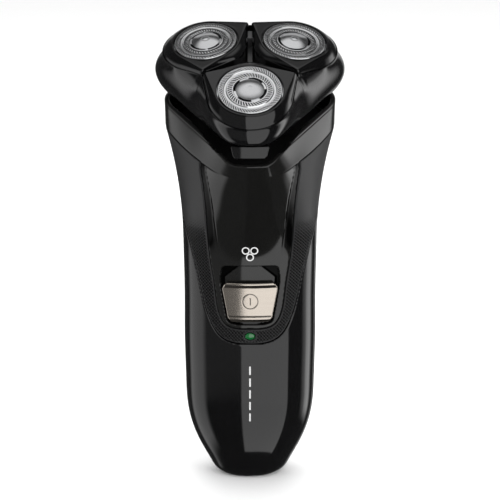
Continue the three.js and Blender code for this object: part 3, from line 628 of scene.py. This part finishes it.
def build_fascia():
    z = np.linspace(57.5, COLLAR_TOP[0], 400)
    keep = z < COLLAR_TOP[0] - RIM_ROUNDING
    outer_rows = keep.sum()
    turn = np.linspace(0, math.pi, 13)
    lean = RIM_ROUNDING * np.cos(turn)
    rim_inset = np.where(turn < math.pi / 2, RIM_ROUNDING - lean, WALL - RIM_ROUNDING - lean)
    rim_lift = RIM_ROUNDING * (np.sin(turn) - 1)
    wall_lift = np.linspace(-RIM_ROUNDING - 0.4, -8, 20)
    top_rows = np.repeat(COLLAR_TOP[None], len(turn) + len(wall_lift), 0)
    rows = np.vstack([section_rows(z)[keep], top_rows])
    inset = np.concatenate([np.zeros(outer_rows), rim_inset, np.full(len(wall_lift), WALL)])
    lift = np.concatenate([np.zeros(outer_rows), rim_lift, wall_lift])
    p = ring_points(rows, around(480), inset=inset, lift=lift)
    outer = (np.arange(len(rows)) < outer_rows)[:, None] & np.ones(p.shape[1], bool)
    front = p[..., 1] < -10
    tongue = surface_distance(above_curve(p, FASCIA_EDGE), p)
    crease = surface_distance(above_crease(p), p)
    d = np.maximum(np.minimum(tongue, within(p, in_front_of(p))), crease)
    d = np.where(outer, d, FAR) - SEAM
    notch = -outline_distance(xz(p), mirrored(curve_through(NOTCH, 24)))
    d = np.minimum(d, np.where(front, surface_distance(notch, p), FAR))
    d = np.minimum(d, np.where(front, -pocket_distance(p), FAR))
    rising = smooth((p[..., 2] - STRIP_LOW) / STRIP_RISE) * smooth(-crease / 0.4)
    bevel = STRIP_SLOPE * rising * np.clip(STRIP_WIDTH - tongue, 0, STRIP_WIDTH)
    fade = smooth((np.abs(p[..., 0]) - 9) / 4)
    lines = np.maximum(engraved(tongue - STRIP_WIDTH) * rising, engraved(crease) * fade)
    # painted shade: the panel material darkens this relief, so the engraved lines and the deeper
    # part of the bevelled strip are painted dark
    relief = np.where(outer & (tongue > 0), np.maximum(bevel, lines), 0)
    shell("front_fascia_shell", "panel", "handle", (p, grid_normals(p)), d, relief, depth=1.7,
          replaces=["front_fascia"])


def planar_grid(x_low, x_high, z_low, z_high, step):
    x = np.arange(x_low, x_high + step, step)
    z = np.arange(z_low, z_high + step, step)
    return np.meshgrid(x, z)


def sheet(x, y, z):
    """Points and normals of an open surface."""
    p = np.stack([x, y, z], -1)
    return p, grid_normals(p, wrap=False)


STEM_SLOT = (2.7, 64.9, 75.2)  # half width, low and high end
CHANNEL_DEPTH = 0.8  # of the floor's two side channels, which the panel material paints dark as painted shade


def build_pocket_floor():
    """Floor behind the button, with the slot its stem slides in."""
    x, z = planar_grid(-11.4, 11.4, 59.4, 82, 0.3)
    p, n = sheet(x, POCKET_FLOOR + 0.012 * x ** 2, z)
    half, low, high = STEM_SLOT
    slot = np.maximum(np.abs(x) - half, np.maximum(low - z, z - high))
    half_width, height = np.array(sorted(POCKET, key=lambda point: point[1])).T
    side = np.interp(z, height, half_width) - np.abs(x)
    # painted shade: the side channels' depth darkens them through the panel material
    shell("pocket_floor", "panel", "handle", (p, n), np.minimum(pocket_distance(p) + 0.5, slot),
          CHANNEL_DEPTH * smooth(1.9 - side), edge=0.15, depth=0.9, wrap=False)


# ---- rear shell and trimmer
TRIMMER_HALF, TRIMMER_LOW, TRIMMER_TOP = 11.0, 93.6, 111.0
HINGE_Y, HINGE_Z, KNUCKLE_HALF, KNUCKLE_RADIUS = 16.6, 91.0, 7.0, 2.6
KNUCKLE_ROOM = 9.1  # half width of the cut-out for the hinge
# Boxes: half width, low and high end (front and back for the socket), corner radius.
CATCH_SLOT, CATCH = (3.3, 74.1, 84.3, 1.0), (2.9, 77.6, 83.9, 0.9)
SOCKET = (3.4, 1, 6.2, 0.9)
LID_RIDGES = (7, 102.2, 109.4, 1.5)
RIDGE_PITCH, RIDGE_DEPTH = 1.6, 0.35
CATCH_FACE = 19.3


def box_outline(half, low, high, radius):
    return fillet([[half, low], [half, high], [-half, high], [-half, low]], radius)


def in_box(p, *box):
    return outline_distance(xz(p), box_outline(*box))


def rear_only(p, field):
    return np.where(p[..., 1] > 8, field, FAR)


def build_rear_shell():
    p, n = handle_surface(0, 131, 0.4, 400, with_base=True)
    d = within(p, -in_front_of(p), -above_crease(p)) - SEAM
    for box in ((TRIMMER_HALF + 0.45, TRIMMER_LOW - 0.6, TRIMMER_TOP + 0.45, 1.6),
                (KNUCKLE_ROOM, HINGE_Z - KNUCKLE_RADIUS - 0.5, TRIMMER_LOW + 2, 0.6), CATCH_SLOT):
        d = np.minimum(d, rear_only(p, -in_box(p, *box)))
    socket = -outline_distance(p[..., :2], box_outline(*SOCKET))
    d = np.minimum(d, np.where(p[..., 2] < 2, socket, FAR))
    shell("rear_shell_skin", "satin", "handle", (p, n), d, replaces=["rear_shell"])


def build_trimmer():
    p, n = handle_surface(90, 113, 0.2, 900)
    d = np.maximum(in_box(p, TRIMMER_HALF, TRIMMER_LOW, TRIMMER_TOP, 1.4),
                   in_box(p, KNUCKLE_HALF, HINGE_Z + 0.4, TRIMMER_LOW + 3, 0.4))
    d = np.where(p[..., 1] > 8, d, -FAR)
    half_pitch = RIDGE_PITCH / 2
    ridge = np.abs((p[..., 2] - 103) % RIDGE_PITCH - half_pitch) / half_pitch
    area = in_box(p, *LID_RIDGES)
    relief = RIDGE_DEPTH * smooth(area / 0.5) * (1 - ridge ** 2) * (area > 0)
    verts, faces, _ = trim(p, n, d, relief, depth=2.2)
    batch = Batch()
    batch.add(verts, faces)
    turned = [[0, -KNUCKLE_HALF], [KNUCKLE_RADIUS - 0.3, -KNUCKLE_HALF],
              [KNUCKLE_RADIUS, -KNUCKLE_HALF + 0.3], [KNUCKLE_RADIUS, KNUCKLE_HALF - 0.3],
              [KNUCKLE_RADIUS - 0.3, KNUCKLE_HALF], [0, KNUCKLE_HALF]]
    batch.lathe(turned, lambda q: rotate(q, 1, math.pi / 2) + [0, HINGE_Y, HINGE_Z], 48)
    batch.piece("trimmer_lid", "satin", "trimmer", replaces=["trimmer_arm"])


def build_trimmer_catch():
    x, z = planar_grid(-3.2, 3.2, 77.3, 84.2, 0.12)
    rib = np.abs((z - 77.6) % 1.05 - 0.52) / 0.52
    p, n = sheet(-x, CATCH_FACE - 0.02 * x ** 2 - 0.25 * rib ** 2, z)
    shell("trimmer_catch_button", "satin", "trimmer_catch", (p, n), in_box(p, *CATCH), edge=0.3,
          depth=3.0, wrap=False, replaces=["trimmer_release"])


# ---- power button and lamp
BUTTON = [[8.3, 75.8], [9.6, 73.4], [7.8, 63.8], [6.5, 61.4]]
BUTTON_FACE = -19.4
BUTTON_ARCH = 0.0135  # the face falls back by this times x squared
RIDGE_TOP, RIDGE_LOW = (73.7, 75.0), (64.5, 63.0)  # foot and crest of the face's two ridges
SYMBOL_Z = 69.0
SYMBOL_RADIUS = 2.6
LAMP_Z = 56.3
LAMP_HALF = (1.65, 1.2)
LAMP_FACE, LAMP_SWELL = -18.35, 0.55
STEM_HALF, STEM_BACK, STEM_ENDS = 2.4, -15.3, (65.1, 70.4)


def build_button():
    x, z = planar_grid(-10, 10, 61, 76.2, 0.11)
    top, low = [smooth((z - foot) / (crest - foot)) for foot, crest in (RIDGE_TOP, RIDGE_LOW)]
    above, below = np.clip(z - RIDGE_TOP[1], 0, None), np.clip(RIDGE_LOW[1] - z, 0, None)
    rounding = above ** 2 + 0.5 * below ** 2
    p, n = sheet(x, BUTTON_FACE - 0.45 * top - 0.6 * low + 0.7 * rounding + BUTTON_ARCH * x ** 2, z)
    ring = np.abs(np.hypot(x, z - SYMBOL_Z) - SYMBOL_RADIUS)
    bar = np.hypot(x, np.clip(np.abs(z - SYMBOL_Z) - 1.1, 0, None))
    # painted shade: the champagne material darkens the engraved power symbol by its depth
    relief = 0.07 * smooth((0.22 - np.minimum(ring, bar)) / 0.12)
    d = outline_distance(xz(p), fillet(mirrored(BUTTON), 1.1))
    verts, faces, hollow = trim(p, n, d, relief, 0.45, 1.5, wrap=False)
    low, high = STEM_ENDS
    stem = ((-STEM_HALF, low), (STEM_HALF, low), (STEM_HALF, high), (-STEM_HALF, high))
    corners = [[x, y, z] for y in (BUTTON_FACE + 0.8, STEM_BACK) for x, z in stem]
    sides = [[0, 4, 5, 1], [1, 5, 6, 2], [2, 6, 7, 3], [3, 7, 4, 0], [4, 7, 6, 5]]
    faces += [[v + len(verts) for v in side] for side in sides]
    verts, hollow = np.vstack([verts, corners]), np.concatenate([hollow, np.zeros(8)])
    new_piece("power_button_cap", verts, faces, "champagne", "power_slider",
              replaces=["power_button"], sharp=50, hollow=hollow)


def build_lamp():
    u = around(48)
    fall = np.linspace(0, math.pi / 2, 10)[::-1]
    r, h = np.sin(fall)[:, None], np.cos(fall)[:, None]
    p = np.stack([LAMP_HALF[0] * r * np.cos(u), LAMP_FACE - LAMP_SWELL * h + 0 * u,
                  LAMP_Z + LAMP_HALF[1] * r * np.sin(u)], -1)
    skirt = p[:1] + [0, 3, 0]
    batch = Batch()
    batch.grid(np.vstack([skirt, p]))
    batch.piece("lamp_lens", "lamp", "handle", replaces=["led_lens"])


RINGS, RING_RADIUS, RING_HALF = ((-1.45, 87.0), (1.45, 87.0), (0, 84.6)), 1.15, 0.2
DASH_LOW, DASH_HIGH, DASH_PITCH, DASH_HALF_LENGTH, DASH_HALF = 24, 46, 4.4, 1.55, 0.28
INK = 0.03  # how far the print stands proud


def build_prints():
    """Plain printed marks: three small rings above the button and a dashed line below."""
    p, n = handle_surface(20, 96, 0.15, 900)
    q = xz(p)
    rings = [np.abs(np.hypot(q[..., 0] - x, q[..., 1] - z) - RING_RADIUS) - RING_HALF
             for x, z in RINGS]
    mark = -np.minimum.reduce(rings)
    half_pitch = DASH_PITCH / 2
    dashes = np.abs((q[..., 1] - DASH_LOW) % DASH_PITCH - half_pitch) - DASH_HALF_LENGTH
    line = -np.maximum(np.maximum(np.abs(q[..., 0]) - DASH_HALF, dashes),
                       np.maximum(DASH_LOW - q[..., 1], q[..., 1] - DASH_HIGH))
    d = np.where(p[..., 1] < -10, np.maximum(mark, line), -FAR)
    keep = np.any(d > -0.5, axis=1)
    low, high = np.argmax(keep), len(keep) - np.argmax(keep[::-1])
    p, n, d = p[low:high], n[low:high], d[low:high]
    shell("printed_marks", "print", "handle", (p + INK * n, n), d, edge=0.01, depth=2 * INK)


# ---- shaving head
SEAM_DEPTH = 3.0  # the heads part from the base this far below their faces
CORNER_DEPTH = 1.8  # the same at their inner corners
SKIRT_LOW = 5.6
SKIRT_CIRCLE, TOP_CIRCLE = 14.2, 11.9
SKIRT_TIP = 1.0  # the skirt reaches out this much further at the outer tip
SKIRT_CORNER, TOP_CORNER = (-8.2, 15.9), (-7.9, 15.1)
RIM_GAP = 0.32
ARM_ROOM = 0.8 + GAP
ARM_REACH = 16.6


def seam_depth(azimuth):
    """Depth of a head's seam at azimuths about its own axis."""
    return SEAM_DEPTH + (CORNER_DEPTH - SEAM_DEPTH) * smooth((np.abs(azimuth) - 1.3) / 0.75)


def clear_of_neighbours(azimuth, radius, z):
    """Keeps an outline clear of the arms, and of the next head beyond the arms' ends."""
    r = np.linspace(8, radius.max(), 300)[:, None]
    outward = DISC_PITCH + r * np.cos(azimuth) * math.cos(DISC_CANT) + z * math.sin(DISC_CANT)
    across = np.abs(r * np.sin(azimuth))
    distance = outward * math.sin(math.radians(60)) - across * 0.5
    beyond = smooth((np.hypot(outward, across) - ARM_REACH) / 1.0)
    clear = distance > ARM_ROOM + (0.22 - ARM_ROOM) * beyond
    most = np.where(np.logical_and.accumulate(clear, 0), r, 0).max(0)
    return np.minimum(radius, most)


def lobe_outline(azimuth, circle, corner, z, tip=0.0):
    """Outline of one head: a circle drawn out to two inner corners."""
    distance, at = math.hypot(*corner), math.atan2(corner[1], corner[0])
    radius = circle + tip * np.cos(azimuth) ** 2 * (np.cos(azimuth) > 0)
    spread = math.acos(circle / distance)
    past = np.abs(np.abs(azimuth) - at)
    radius = np.where(past < spread, circle / np.cos(np.minimum(spread - past, 1.4)), radius)
    return clear_of_neighbours(azimuth, radius, z)


def rim_table():
    """The base's rim by angle from the lobe axis: distance from the head axis, and height."""
    az = np.radians(np.linspace(0, 122, 200))
    r = lobe_outline(az, SKIRT_CIRCLE, SKIRT_CORNER, -SEAM_DEPTH, SKIRT_TIP) + RIM_GAP
    seam = rotate(polar(r, az, -seam_depth(az)), 1, DISC_CANT) + [DISC_PITCH, 0, 0]
    off = np.arctan2(seam[:, 1], seam[:, 0])
    order = np.argsort(off)
    return off[order], np.hypot(seam[:, 0], seam[:, 1])[order], seam[order, 2]


RIM_TABLE = rim_table()
BASE_HALF, BASE_CORNER = 30.2, 10.8  # of the rounded triangle at the base's lower edge
UNDERSIDE = (-11.6, -0.22, -32.3)  # height at a y, its slope, and that y
BULGE_FRONT, BULGE_BACK = 0.18, 0.22  # swell of the base, as a share of its height
BULGE_GAIN, BULGE_FALL = 5.2, 1.5  # its share of the height, and how fast it fades upwards
SHOULDER = 2.0  # how late the base's sides draw in towards the heads


def underside(y):
    height, slope, at = UNDERSIDE
    return height + slope * (y - at)


def base_surface(azimuth, t, inset=0.0, lift=0.0):
    """Head base, t = 0 at its lower edge and 1 at its rim; inset shrinks it."""
    az = azimuth[None, :]
    t, inset, lift = [np.reshape(v, (-1, 1)) * np.ones((1, 1)) for v in (t, inset, lift)]
    off = np.abs(off_lobe(az))
    count = len(azimuth)
    triangle = blur_round(rounded_triangle(az, BASE_HALF, BASE_CORNER), count / 110)
    rim, high = [blur_round(np.interp(off, RIM_TABLE[0], column), count / 400)
                 for column in RIM_TABLE[1:]]
    soft_rim, soft_high = [blur_round(v, count / 22) for v in (rim, high)]
    low = underside(triangle * np.sin(az))
    swell = BULGE_FRONT + (BULGE_BACK - BULGE_FRONT) * smooth(np.sin(az) + 0.5)
    swell = swell * BULGE_GAIN * np.cos(off * 1.5) ** 2
    bulge = swell * (high - low) * t * (1 - t) ** BULGE_FALL
    late = t ** 9
    radius = triangle + (soft_rim - triangle) * t ** SHOULDER + (rim - soft_rim) * late
    radius = radius + bulge - inset
    height = low + (soft_high - low) * t + (high - soft_high) * late
    return polar(radius, az, height + lift)


def build_head_base():
    azimuth = around(480)
    edge = 0.7
    turn = np.linspace(0, math.pi / 2, 6)
    t = 1 - np.linspace(0.975, 0.1, 56) ** 1.7
    lower = base_surface(azimuth, np.zeros(6), inset=edge * (1 - np.sin(turn)) + 0.02,
                         lift=edge * (1 - np.cos(turn)) * 0.6)
    wall = base_surface(azimuth, t)
    rim = base_surface(azimuth, np.ones(4), inset=[0.0, 0.03, 0.08, 0.09],
                       lift=[0.0, 0.08, 0.05, -0.1])
    inside = base_surface(azimuth, [0.93, 0.8], inset=[0.35, 0.9])
    outward = lower[0, :, :2] / np.hypot(lower[0, :, :1], lower[0, :, 1:2])
    flat = outward * np.reshape([5.8, 9, 14, 19], (-1, 1, 1))
    floor = np.concatenate([flat, underside(flat[..., 1:])], -1)
    batch = Batch()
    batch.grid(head_place(np.concatenate([floor, lower, wall, rim, inside])))
    stem = [[4.2, 4.2], [4.2, -1.7], [5.8, -1.7], [5.8, 4.2]]
    batch.lathe(stem, neck_place, 64)
    batch.piece("head_base_shell", "gloss", "shaving_head", replaces=["head_base"], sharp=50)


HOLE_RADIUS = 11.0  # of the opening in a pod that its cap stands in
LIP = 0.3  # rounding of a pod's lower edge


def build_pod(side, azimuth):
    az = np.linspace(-math.pi, math.pi, 420, endpoint=False)
    soften = len(az) / 300
    skirt = blur_round(lobe_outline(az, SKIRT_CIRCLE, SKIRT_CORNER, -SEAM_DEPTH, SKIRT_TIP), soften)
    top = blur_round(lobe_outline(az, TOP_CIRCLE, TOP_CORNER, 0), soften)
    hole = np.full(az.shape, HOLE_RADIUS)
    seam = -blur_round(seam_depth(az), soften)
    rows = [(skirt - 1.2, seam * 0 - SKIRT_LOW), (skirt - 0.8, seam * 0 - SKIRT_LOW),
            (skirt - 0.5, seam - 0.8), (skirt - 0.35, seam - 0.3), (skirt - 0.12, seam - 0.12)]
    for turn in np.linspace(0, 1.0, 5):
        rows.append((skirt - LIP * (1 - math.cos(turn)), seam + LIP * math.sin(turn)))
    start_r, start_z = rows[-1]
    for t in np.linspace(0.07, 0.94, 14):
        bow = 0.3 * math.sin(math.pi * t)
        rows.append((start_r + (top - start_r) * t + bow, start_z * (1 - t)))
    for turn in np.linspace(0.15, math.pi / 2, 6):
        rows.append((top - 0.35 * (1 - math.cos(turn)), -0.3 + 0.3 * math.sin(turn)))
    for t in (0.25, 0.5, 0.75):
        rows.append((top - 0.4 + (hole + 0.45 - top) * t, 0.0))
    for turn in np.linspace(0, math.pi / 2, 5):
        rows.append((hole + 0.3 * (1 - math.sin(turn)), -0.3 * (1 - math.cos(turn))))
    rows.append((hole, -1.7))
    p = np.stack([polar(r, az, z) for r, z in rows])
    batch = Batch()
    batch.grid(pod_place(azimuth)(p))
    batch.piece(f"pod_{side}_shell", "gloss", f"pod_body_{side}", replaces=[f"pod_{side}"],
                slot="satin_black", sharp=50)


CAP_RADIUS = 10.65
TRACKS = ((8.95, 10.35, 66), (5.9, 7.5, 46))  # inner and outer radius, number of slots
SLOT_SHARE = 0.58
SLOT_LEAN = math.radians(7)
SKIN = 0.3
DOME_RADIUS, DOME_HEIGHT = 4.75, 1.0
SPOKES, SPOKE_HALF = 4, 0.3  # that hold the centre of a cap; half width in radians


def slot_bars(batch, place, inner, outer, count):
    """The bars left between the slots of one track."""
    pitch = 2 * math.pi / count
    steps = np.linspace(0, 1, 5)
    radii = inner + (outer - inner) * steps
    crown = 0.06 * np.sin(math.pi * steps)
    for i in range(count):
        low = i * pitch + SLOT_LEAN * (steps - 0.5)
        high = low + pitch * (1 - SLOT_SHARE)
        ring = [polar(radii, az, crown + z)
                for az, z in ((low, -SKIN), (low, 0.0), (high, 0.0), (high, -SKIN))]
        batch.grid(place(np.stack(ring, 1)))


def build_cap(side, azimuth):
    place = pod_place(azimuth)
    batch = Batch()
    edge = CAP_RADIUS
    (outer_low, outer_high, _), (inner_low, inner_high, _) = TRACKS
    batch.lathe([[outer_high, -2.55], [12.0, -2.55], [12.0, -2.0], [edge, -2.0], [edge, -0.25],
                 [edge - 0.05, -0.1], [edge - 0.17, 0.0], [outer_high, 0.0], [outer_high, -SKIN],
                 [edge - 0.3, -SKIN - 0.1]], place, 128)
    batch.lathe([[outer_low, -SKIN], [outer_low, 0.0], [8.85, 0.02], [8.72, -0.06], [8.6, -0.18],
                 [8.0, -0.22], [7.85, -0.1], [7.7, 0.02], [inner_high, 0.0], [inner_high, -SKIN]],
                place, 128)
    batch.lathe([[inner_low, -SKIN], [inner_low, 0.0], [5.65, 0.03], [5.5, -0.06], [5.42, -0.5],
                 [5.6, -0.6]], place, 96)
    for inner, outer, count in TRACKS:
        slot_bars(batch, place, inner, outer, count)
    for i in range(SPOKES):
        middle = math.pi * (2 * i + 0.5) / SPOKES
        az = np.linspace(middle - SPOKE_HALF, middle + SPOKE_HALF, 9)
        r = np.array([DOME_RADIUS - 0.1, 5.45])[:, None]
        batch.grid(place(polar(r, az, -0.25)), wrap=False)
    batch.piece(f"cap_{side}_slotted", "steel", f"cap_body_{side}", replaces=[f"cap_{side}"],
                sharp=35)
    fall = np.linspace(1, 0, 15)
    crown = np.stack([DOME_RADIUS * fall, 0.05 + DOME_HEIGHT * (1 - fall ** 2)], -1)
    crown[:, 1] -= 0.1 * np.exp(-((crown[:, 0] - 1.0) / 0.28) ** 2)
    crown[-1, 0] = 0.02
    dome = Batch()
    dome.lathe([[DOME_RADIUS - 0.1, -0.8], [DOME_RADIUS, -0.25], *crown], place, 96)
    dome.piece(f"cap_centre_{side}_dome", "dome", f"cap_body_{side}",
               replaces=[f"cap_centre_{side}"], sharp=60)


BLADE_COUNT = 15
BLADE_RINGS = ((5.6, 7.4), (8.9, 10.1))  # inner and outer radius
BLADE_LEAN = 0.8 * math.tan(math.radians(18))


def build_cutter(side, azimuth):
    place = pod_place(azimuth)
    batch = Batch()
    batch.lathe([[4.0, -5.3], [4.0, -3.95], [9.2, -3.9], [9.4, -3.7], [9.4, -3.4], [9.2, -3.2],
                 [4.4, -3.2], [4.0, -2.9], [3.9, -1.6], [0.02, -1.5]], place, 72)
    faces = [[0, 3, 2, 1], [4, 5, 6, 7], [0, 1, 5, 4], [1, 2, 6, 5], [2, 3, 7, 6], [3, 0, 4, 7]]
    for i in range(BLADE_COUNT):
        for r0, r1 in BLADE_RINGS:
            corners = [[r, (z + 2) * BLADE_LEAN + sign * half, z]
                       for z, half in ((-3.3, 0.35), (-0.85, 0.22))
                       for r, sign in ((r0, -1), (r1, -1), (r1, 1), (r0, 1))]
            batch.add(place(rotate(np.array(corners), 2, 2 * math.pi * i / BLADE_COUNT)), faces)
    batch.piece(f"cutter_{side}_blades", "blade", f"cutter_body_{side}",
                replaces=[f"cutter_{side}"], sharp=35)


TAB = [[6.5, 125.0], [5.7, 121.6], [4.9, 120.7], [-4.9, 120.7], [-5.7, 121.6], [-6.5, 125.0]]
TAB_FACE = -28.6


def build_release_tab():
    x, z = planar_grid(-7, 7, 120.2, 125.6, 0.15)
    p, n = sheet(x, TAB_FACE + 0.012 * x ** 2 + 0.036 * (z - 122.8), z)
    shell("release_tab_face", "gloss", "release", (p, n), outline_distance(xz(p), fillet(TAB, 0.6)),
          edge=0.4, depth=2.2, wrap=False, replaces=["release_tab"])


def build_neck_boot():
    """Ribbed rubber skirt round the gimbal."""
    profile = [[13.0, -6.0]]
    for low in -6.0 + 1.6 * np.arange(4):
        profile += [[15.0, low + 0.1], [15.0, low + 0.5], [14.1, low + 0.9], [14.1, low + 1.3]]
    profile += [[14.6, 0.45], [13.2, 0.45], [13.0, 0.2], [13.0, -6.0]]
    batch = Batch()
    batch.lathe(profile, neck_place, 96)
    batch.piece("neck_boot_ribbed", "soft", "handle", replaces=["neck_boot"])


def build_head_bellows():
    """Ribbed rubber ring that closes the gap between the collar and the head base; its dark rubber
    also stands in for the shade inside that gap.
    """
    low, pitch, folds = -1.1, 0.95, 6
    profile = [[16.4, low]]
    for z in low + pitch * np.arange(folds):
        profile += [[18.2, z], [18.2, z + 0.35], [17.5, z + 0.5], [17.5, z + 0.8]]
    profile += [[17.5, 4.6], [16.4, 4.6], [16.4, low]]
    batch = Batch()
    batch.lathe(profile, neck_place, 96)
    batch.piece("head_bellows", "soft", "shaving_head")


# ---- studio
AIM = Vector((0, 0, 0.082))
CAMERA_DISTANCE = 0.6
CAMERA_ELEVATION = math.radians(15.5)
CAMERA_LENS = 123.55


def build_camera():
    data = bpy.data.cameras.new("camera")
    data.lens = CAMERA_LENS
    data.clip_start, data.clip_end = 0.01, 50
    camera = bpy.data.objects.new("camera", data)
    bpy.context.scene.collection.objects.link(camera)
    back = Vector((0, -math.cos(CAMERA_ELEVATION), math.sin(CAMERA_ELEVATION)))
    camera.location = AIM + back * CAMERA_DISTANCE
    camera.rotation_euler = (-back).to_track_quat("-Z", "Y").to_euler()
    bpy.context.scene.camera = camera


def softbox(name, azimuth, elevation, distance, size, power):
    """Rectangular light that faces the shaver. Azimuth 0 is behind the camera, 90 on its right."""
    data = bpy.data.lights.new(name, "AREA")
    data.shape = "RECTANGLE"
    data.size, data.size_y = size
    data.energy = power
    light = bpy.data.objects.new(name, data)
    light.visible_glossy = False
    bpy.context.scene.collection.objects.link(light)
    a, e = math.radians(azimuth), math.radians(elevation)
    direction = Vector((math.sin(a) * math.cos(e), -math.cos(a) * math.cos(e), math.sin(e)))
    light.location = AIM + direction * distance
    light.rotation_euler = direction.to_track_quat("Z", "Y").to_euler()


# What the glossy surfaces mirror: azimuth and elevation limits in degrees, softness, level.
# Azimuth 0 is behind the camera and 90 on its right. Panels that overlap add up.
PANELS = [
    (-8.5, 55, -30, 36, 0.8, 1.45),
    (-122, -72, -52, 5, 7, 1.05),
    (93, 128, -31, 20, 6, 0.75),
    (104, 123, -31, 20, 5, 1.4),
    (150, 181, -45, 6, 6, 0.5),
    (-72, -8.5, -26, 36, 3, 0.16),
]
LOW_PANEL = (-8.5, 55, -62, -29.5, 1.45)  # the same without softness, for two pieces only
REAR_PANEL = (158, 0, 40, 4, 0.5)  # least azimuth either way, elevation limits, softness, level
SKY = (60, 8, 0.88)  # least elevation, softness, level
DIM = 0.055  # level of all the rest


def reflected_studio(graph):
    """Brightness of the surroundings that glossy rays see."""
    place = graph.add("TexCoord", {}, "Generated")
    x, y, z = [graph.add("SeparateXYZ", {0: place}, axis) for axis in range(3)]
    turn = graph.math("ARCTAN2", x, graph.math("MULTIPLY", y, -1.0))
    azimuth = graph.math("DEGREES", turn)
    elevation = graph.math("DEGREES", graph.math("ARCSINE", z))

    def between(value, low, high, soft):
        rise, fall = graph.step(value, low, soft), graph.step(value, high, soft)
        return graph.math("MULTIPLY", rise, graph.math("SUBTRACT", 1.0, fall))

    total = graph.math("ADD", DIM, 0.0)
    for az_low, az_high, el_low, el_high, soft, level in PANELS:
        panel = graph.math("MULTIPLY", between(azimuth, az_low, az_high, soft),
                           between(elevation, el_low, el_high, soft))
        total = graph.math("MULTIPLY_ADD", panel, level, total)
    az_low, el_low, el_high, soft, level = REAR_PANEL
    behind = graph.step(graph.math("ABSOLUTE", azimuth), az_low, soft)
    panel = graph.math("MULTIPLY", behind, between(elevation, el_low, el_high, soft))
    total = graph.math("MULTIPLY_ADD", panel, level, total)
    edge, soft, level = SKY
    return graph.math("MULTIPLY_ADD", graph.step(elevation, edge, soft), level, total)


def build_low_panel():
    """Lit patch of a sphere below the main panel, linked to the pieces that mirror it."""
    az_low, az_high, el_low, el_high, level = LOW_PANEL
    az, el = np.meshgrid(np.radians(np.linspace(az_low, az_high, 37)),
                         np.radians(np.linspace(el_low, el_high, 19)))
    reach = 5.0
    p = reach * np.stack([np.sin(az) * np.cos(el), -np.cos(az) * np.cos(el), np.sin(el)], -1)
    mesh = bpy.data.meshes.new("low_panel")
    mesh.from_pydata((p.reshape(-1, 3) + AIM).tolist(), [],
                     grid_faces(*az.shape, wrap=False).tolist())
    material = bpy.data.materials.new("low_panel_light")
    material.use_nodes = True
    material.node_tree.nodes.clear()
    graph = Graph(material.node_tree)
    light = graph.add("Emission", {"Strength": level}, "Emission")
    graph.add("OutputMaterial", {"Surface": light})
    mesh.materials.append(material)
    panel = bpy.data.objects.new("low_panel", mesh)
    bpy.context.scene.collection.objects.link(panel)
    panel.visible_camera = panel.visible_diffuse = panel.visible_shadow = False
    receivers = bpy.data.collections.new("low_panel_receivers")
    for name in ("front_cover_shell", "head_base_shell"):
        receivers.objects.link(bpy.data.objects[name])
    panel.light_linking.receiver_collection = receivers


def build_studio():
    scene = bpy.context.scene
    scene.view_settings.view_transform = "Standard"
    world = bpy.data.worlds.new("studio")
    scene.world = world
    world.use_nodes = True
    world.node_tree.nodes.clear()
    graph = Graph(world.node_tree)
    glossy = graph.add("LightPath", {}, "Is Glossy Ray")
    plain, studio = [graph.add("Background", {"Color": (1, 1, 1, 1), "Strength": strength},
                               "Background") for strength in (1.0, reflected_studio(graph))]
    surface = graph.add("MixShader", {"Fac": glossy, 1: plain, 2: studio}, "Shader")
    graph.add("OutputWorld", {"Surface": surface})
    floor_mesh = bpy.data.meshes.new("floor")
    half = 6.0
    floor_mesh.from_pydata([(-half, -half, 0), (half, -half, 0), (half, half, 0), (-half, half, 0)],
                           [], [(0, 1, 2, 3)])
    floor_mesh.materials.append(node_material("pale_floor", (0.93, 0.93, 0.93), 0.7, grain=40,
                                              bump=0.0, mottle=0.01))
    floor = bpy.data.objects.new("floor", floor_mesh)
    floor.location.z = CAD_BOX[0].z - 0.0001
    floor.visible_glossy = False
    scene.collection.objects.link(floor)
    build_low_panel()
    softbox("key_box", 40, 35, 1.1, (0.6, 0.9), 5)
    softbox("fill_box", -60, 20, 1.1, (0.6, 0.9), 2)
    softbox("top_box", 180, 70, 0.9, (0.9, 0.7), 5)


# ---- assembly
paint_cad_nodes()
for build in (build_front_cover, build_grip, build_fascia, build_pocket_floor, build_rear_shell,
              build_trimmer, build_trimmer_catch, build_button, build_lamp, build_prints,
              build_head_base):
    build()
for side, azimuth in SIDES.items():
    for build in (build_pod, build_cap, build_cutter):
        build(side, azimuth)
for build in (build_release_tab, build_neck_boot, build_head_bellows, build_camera, build_studio):
    build()
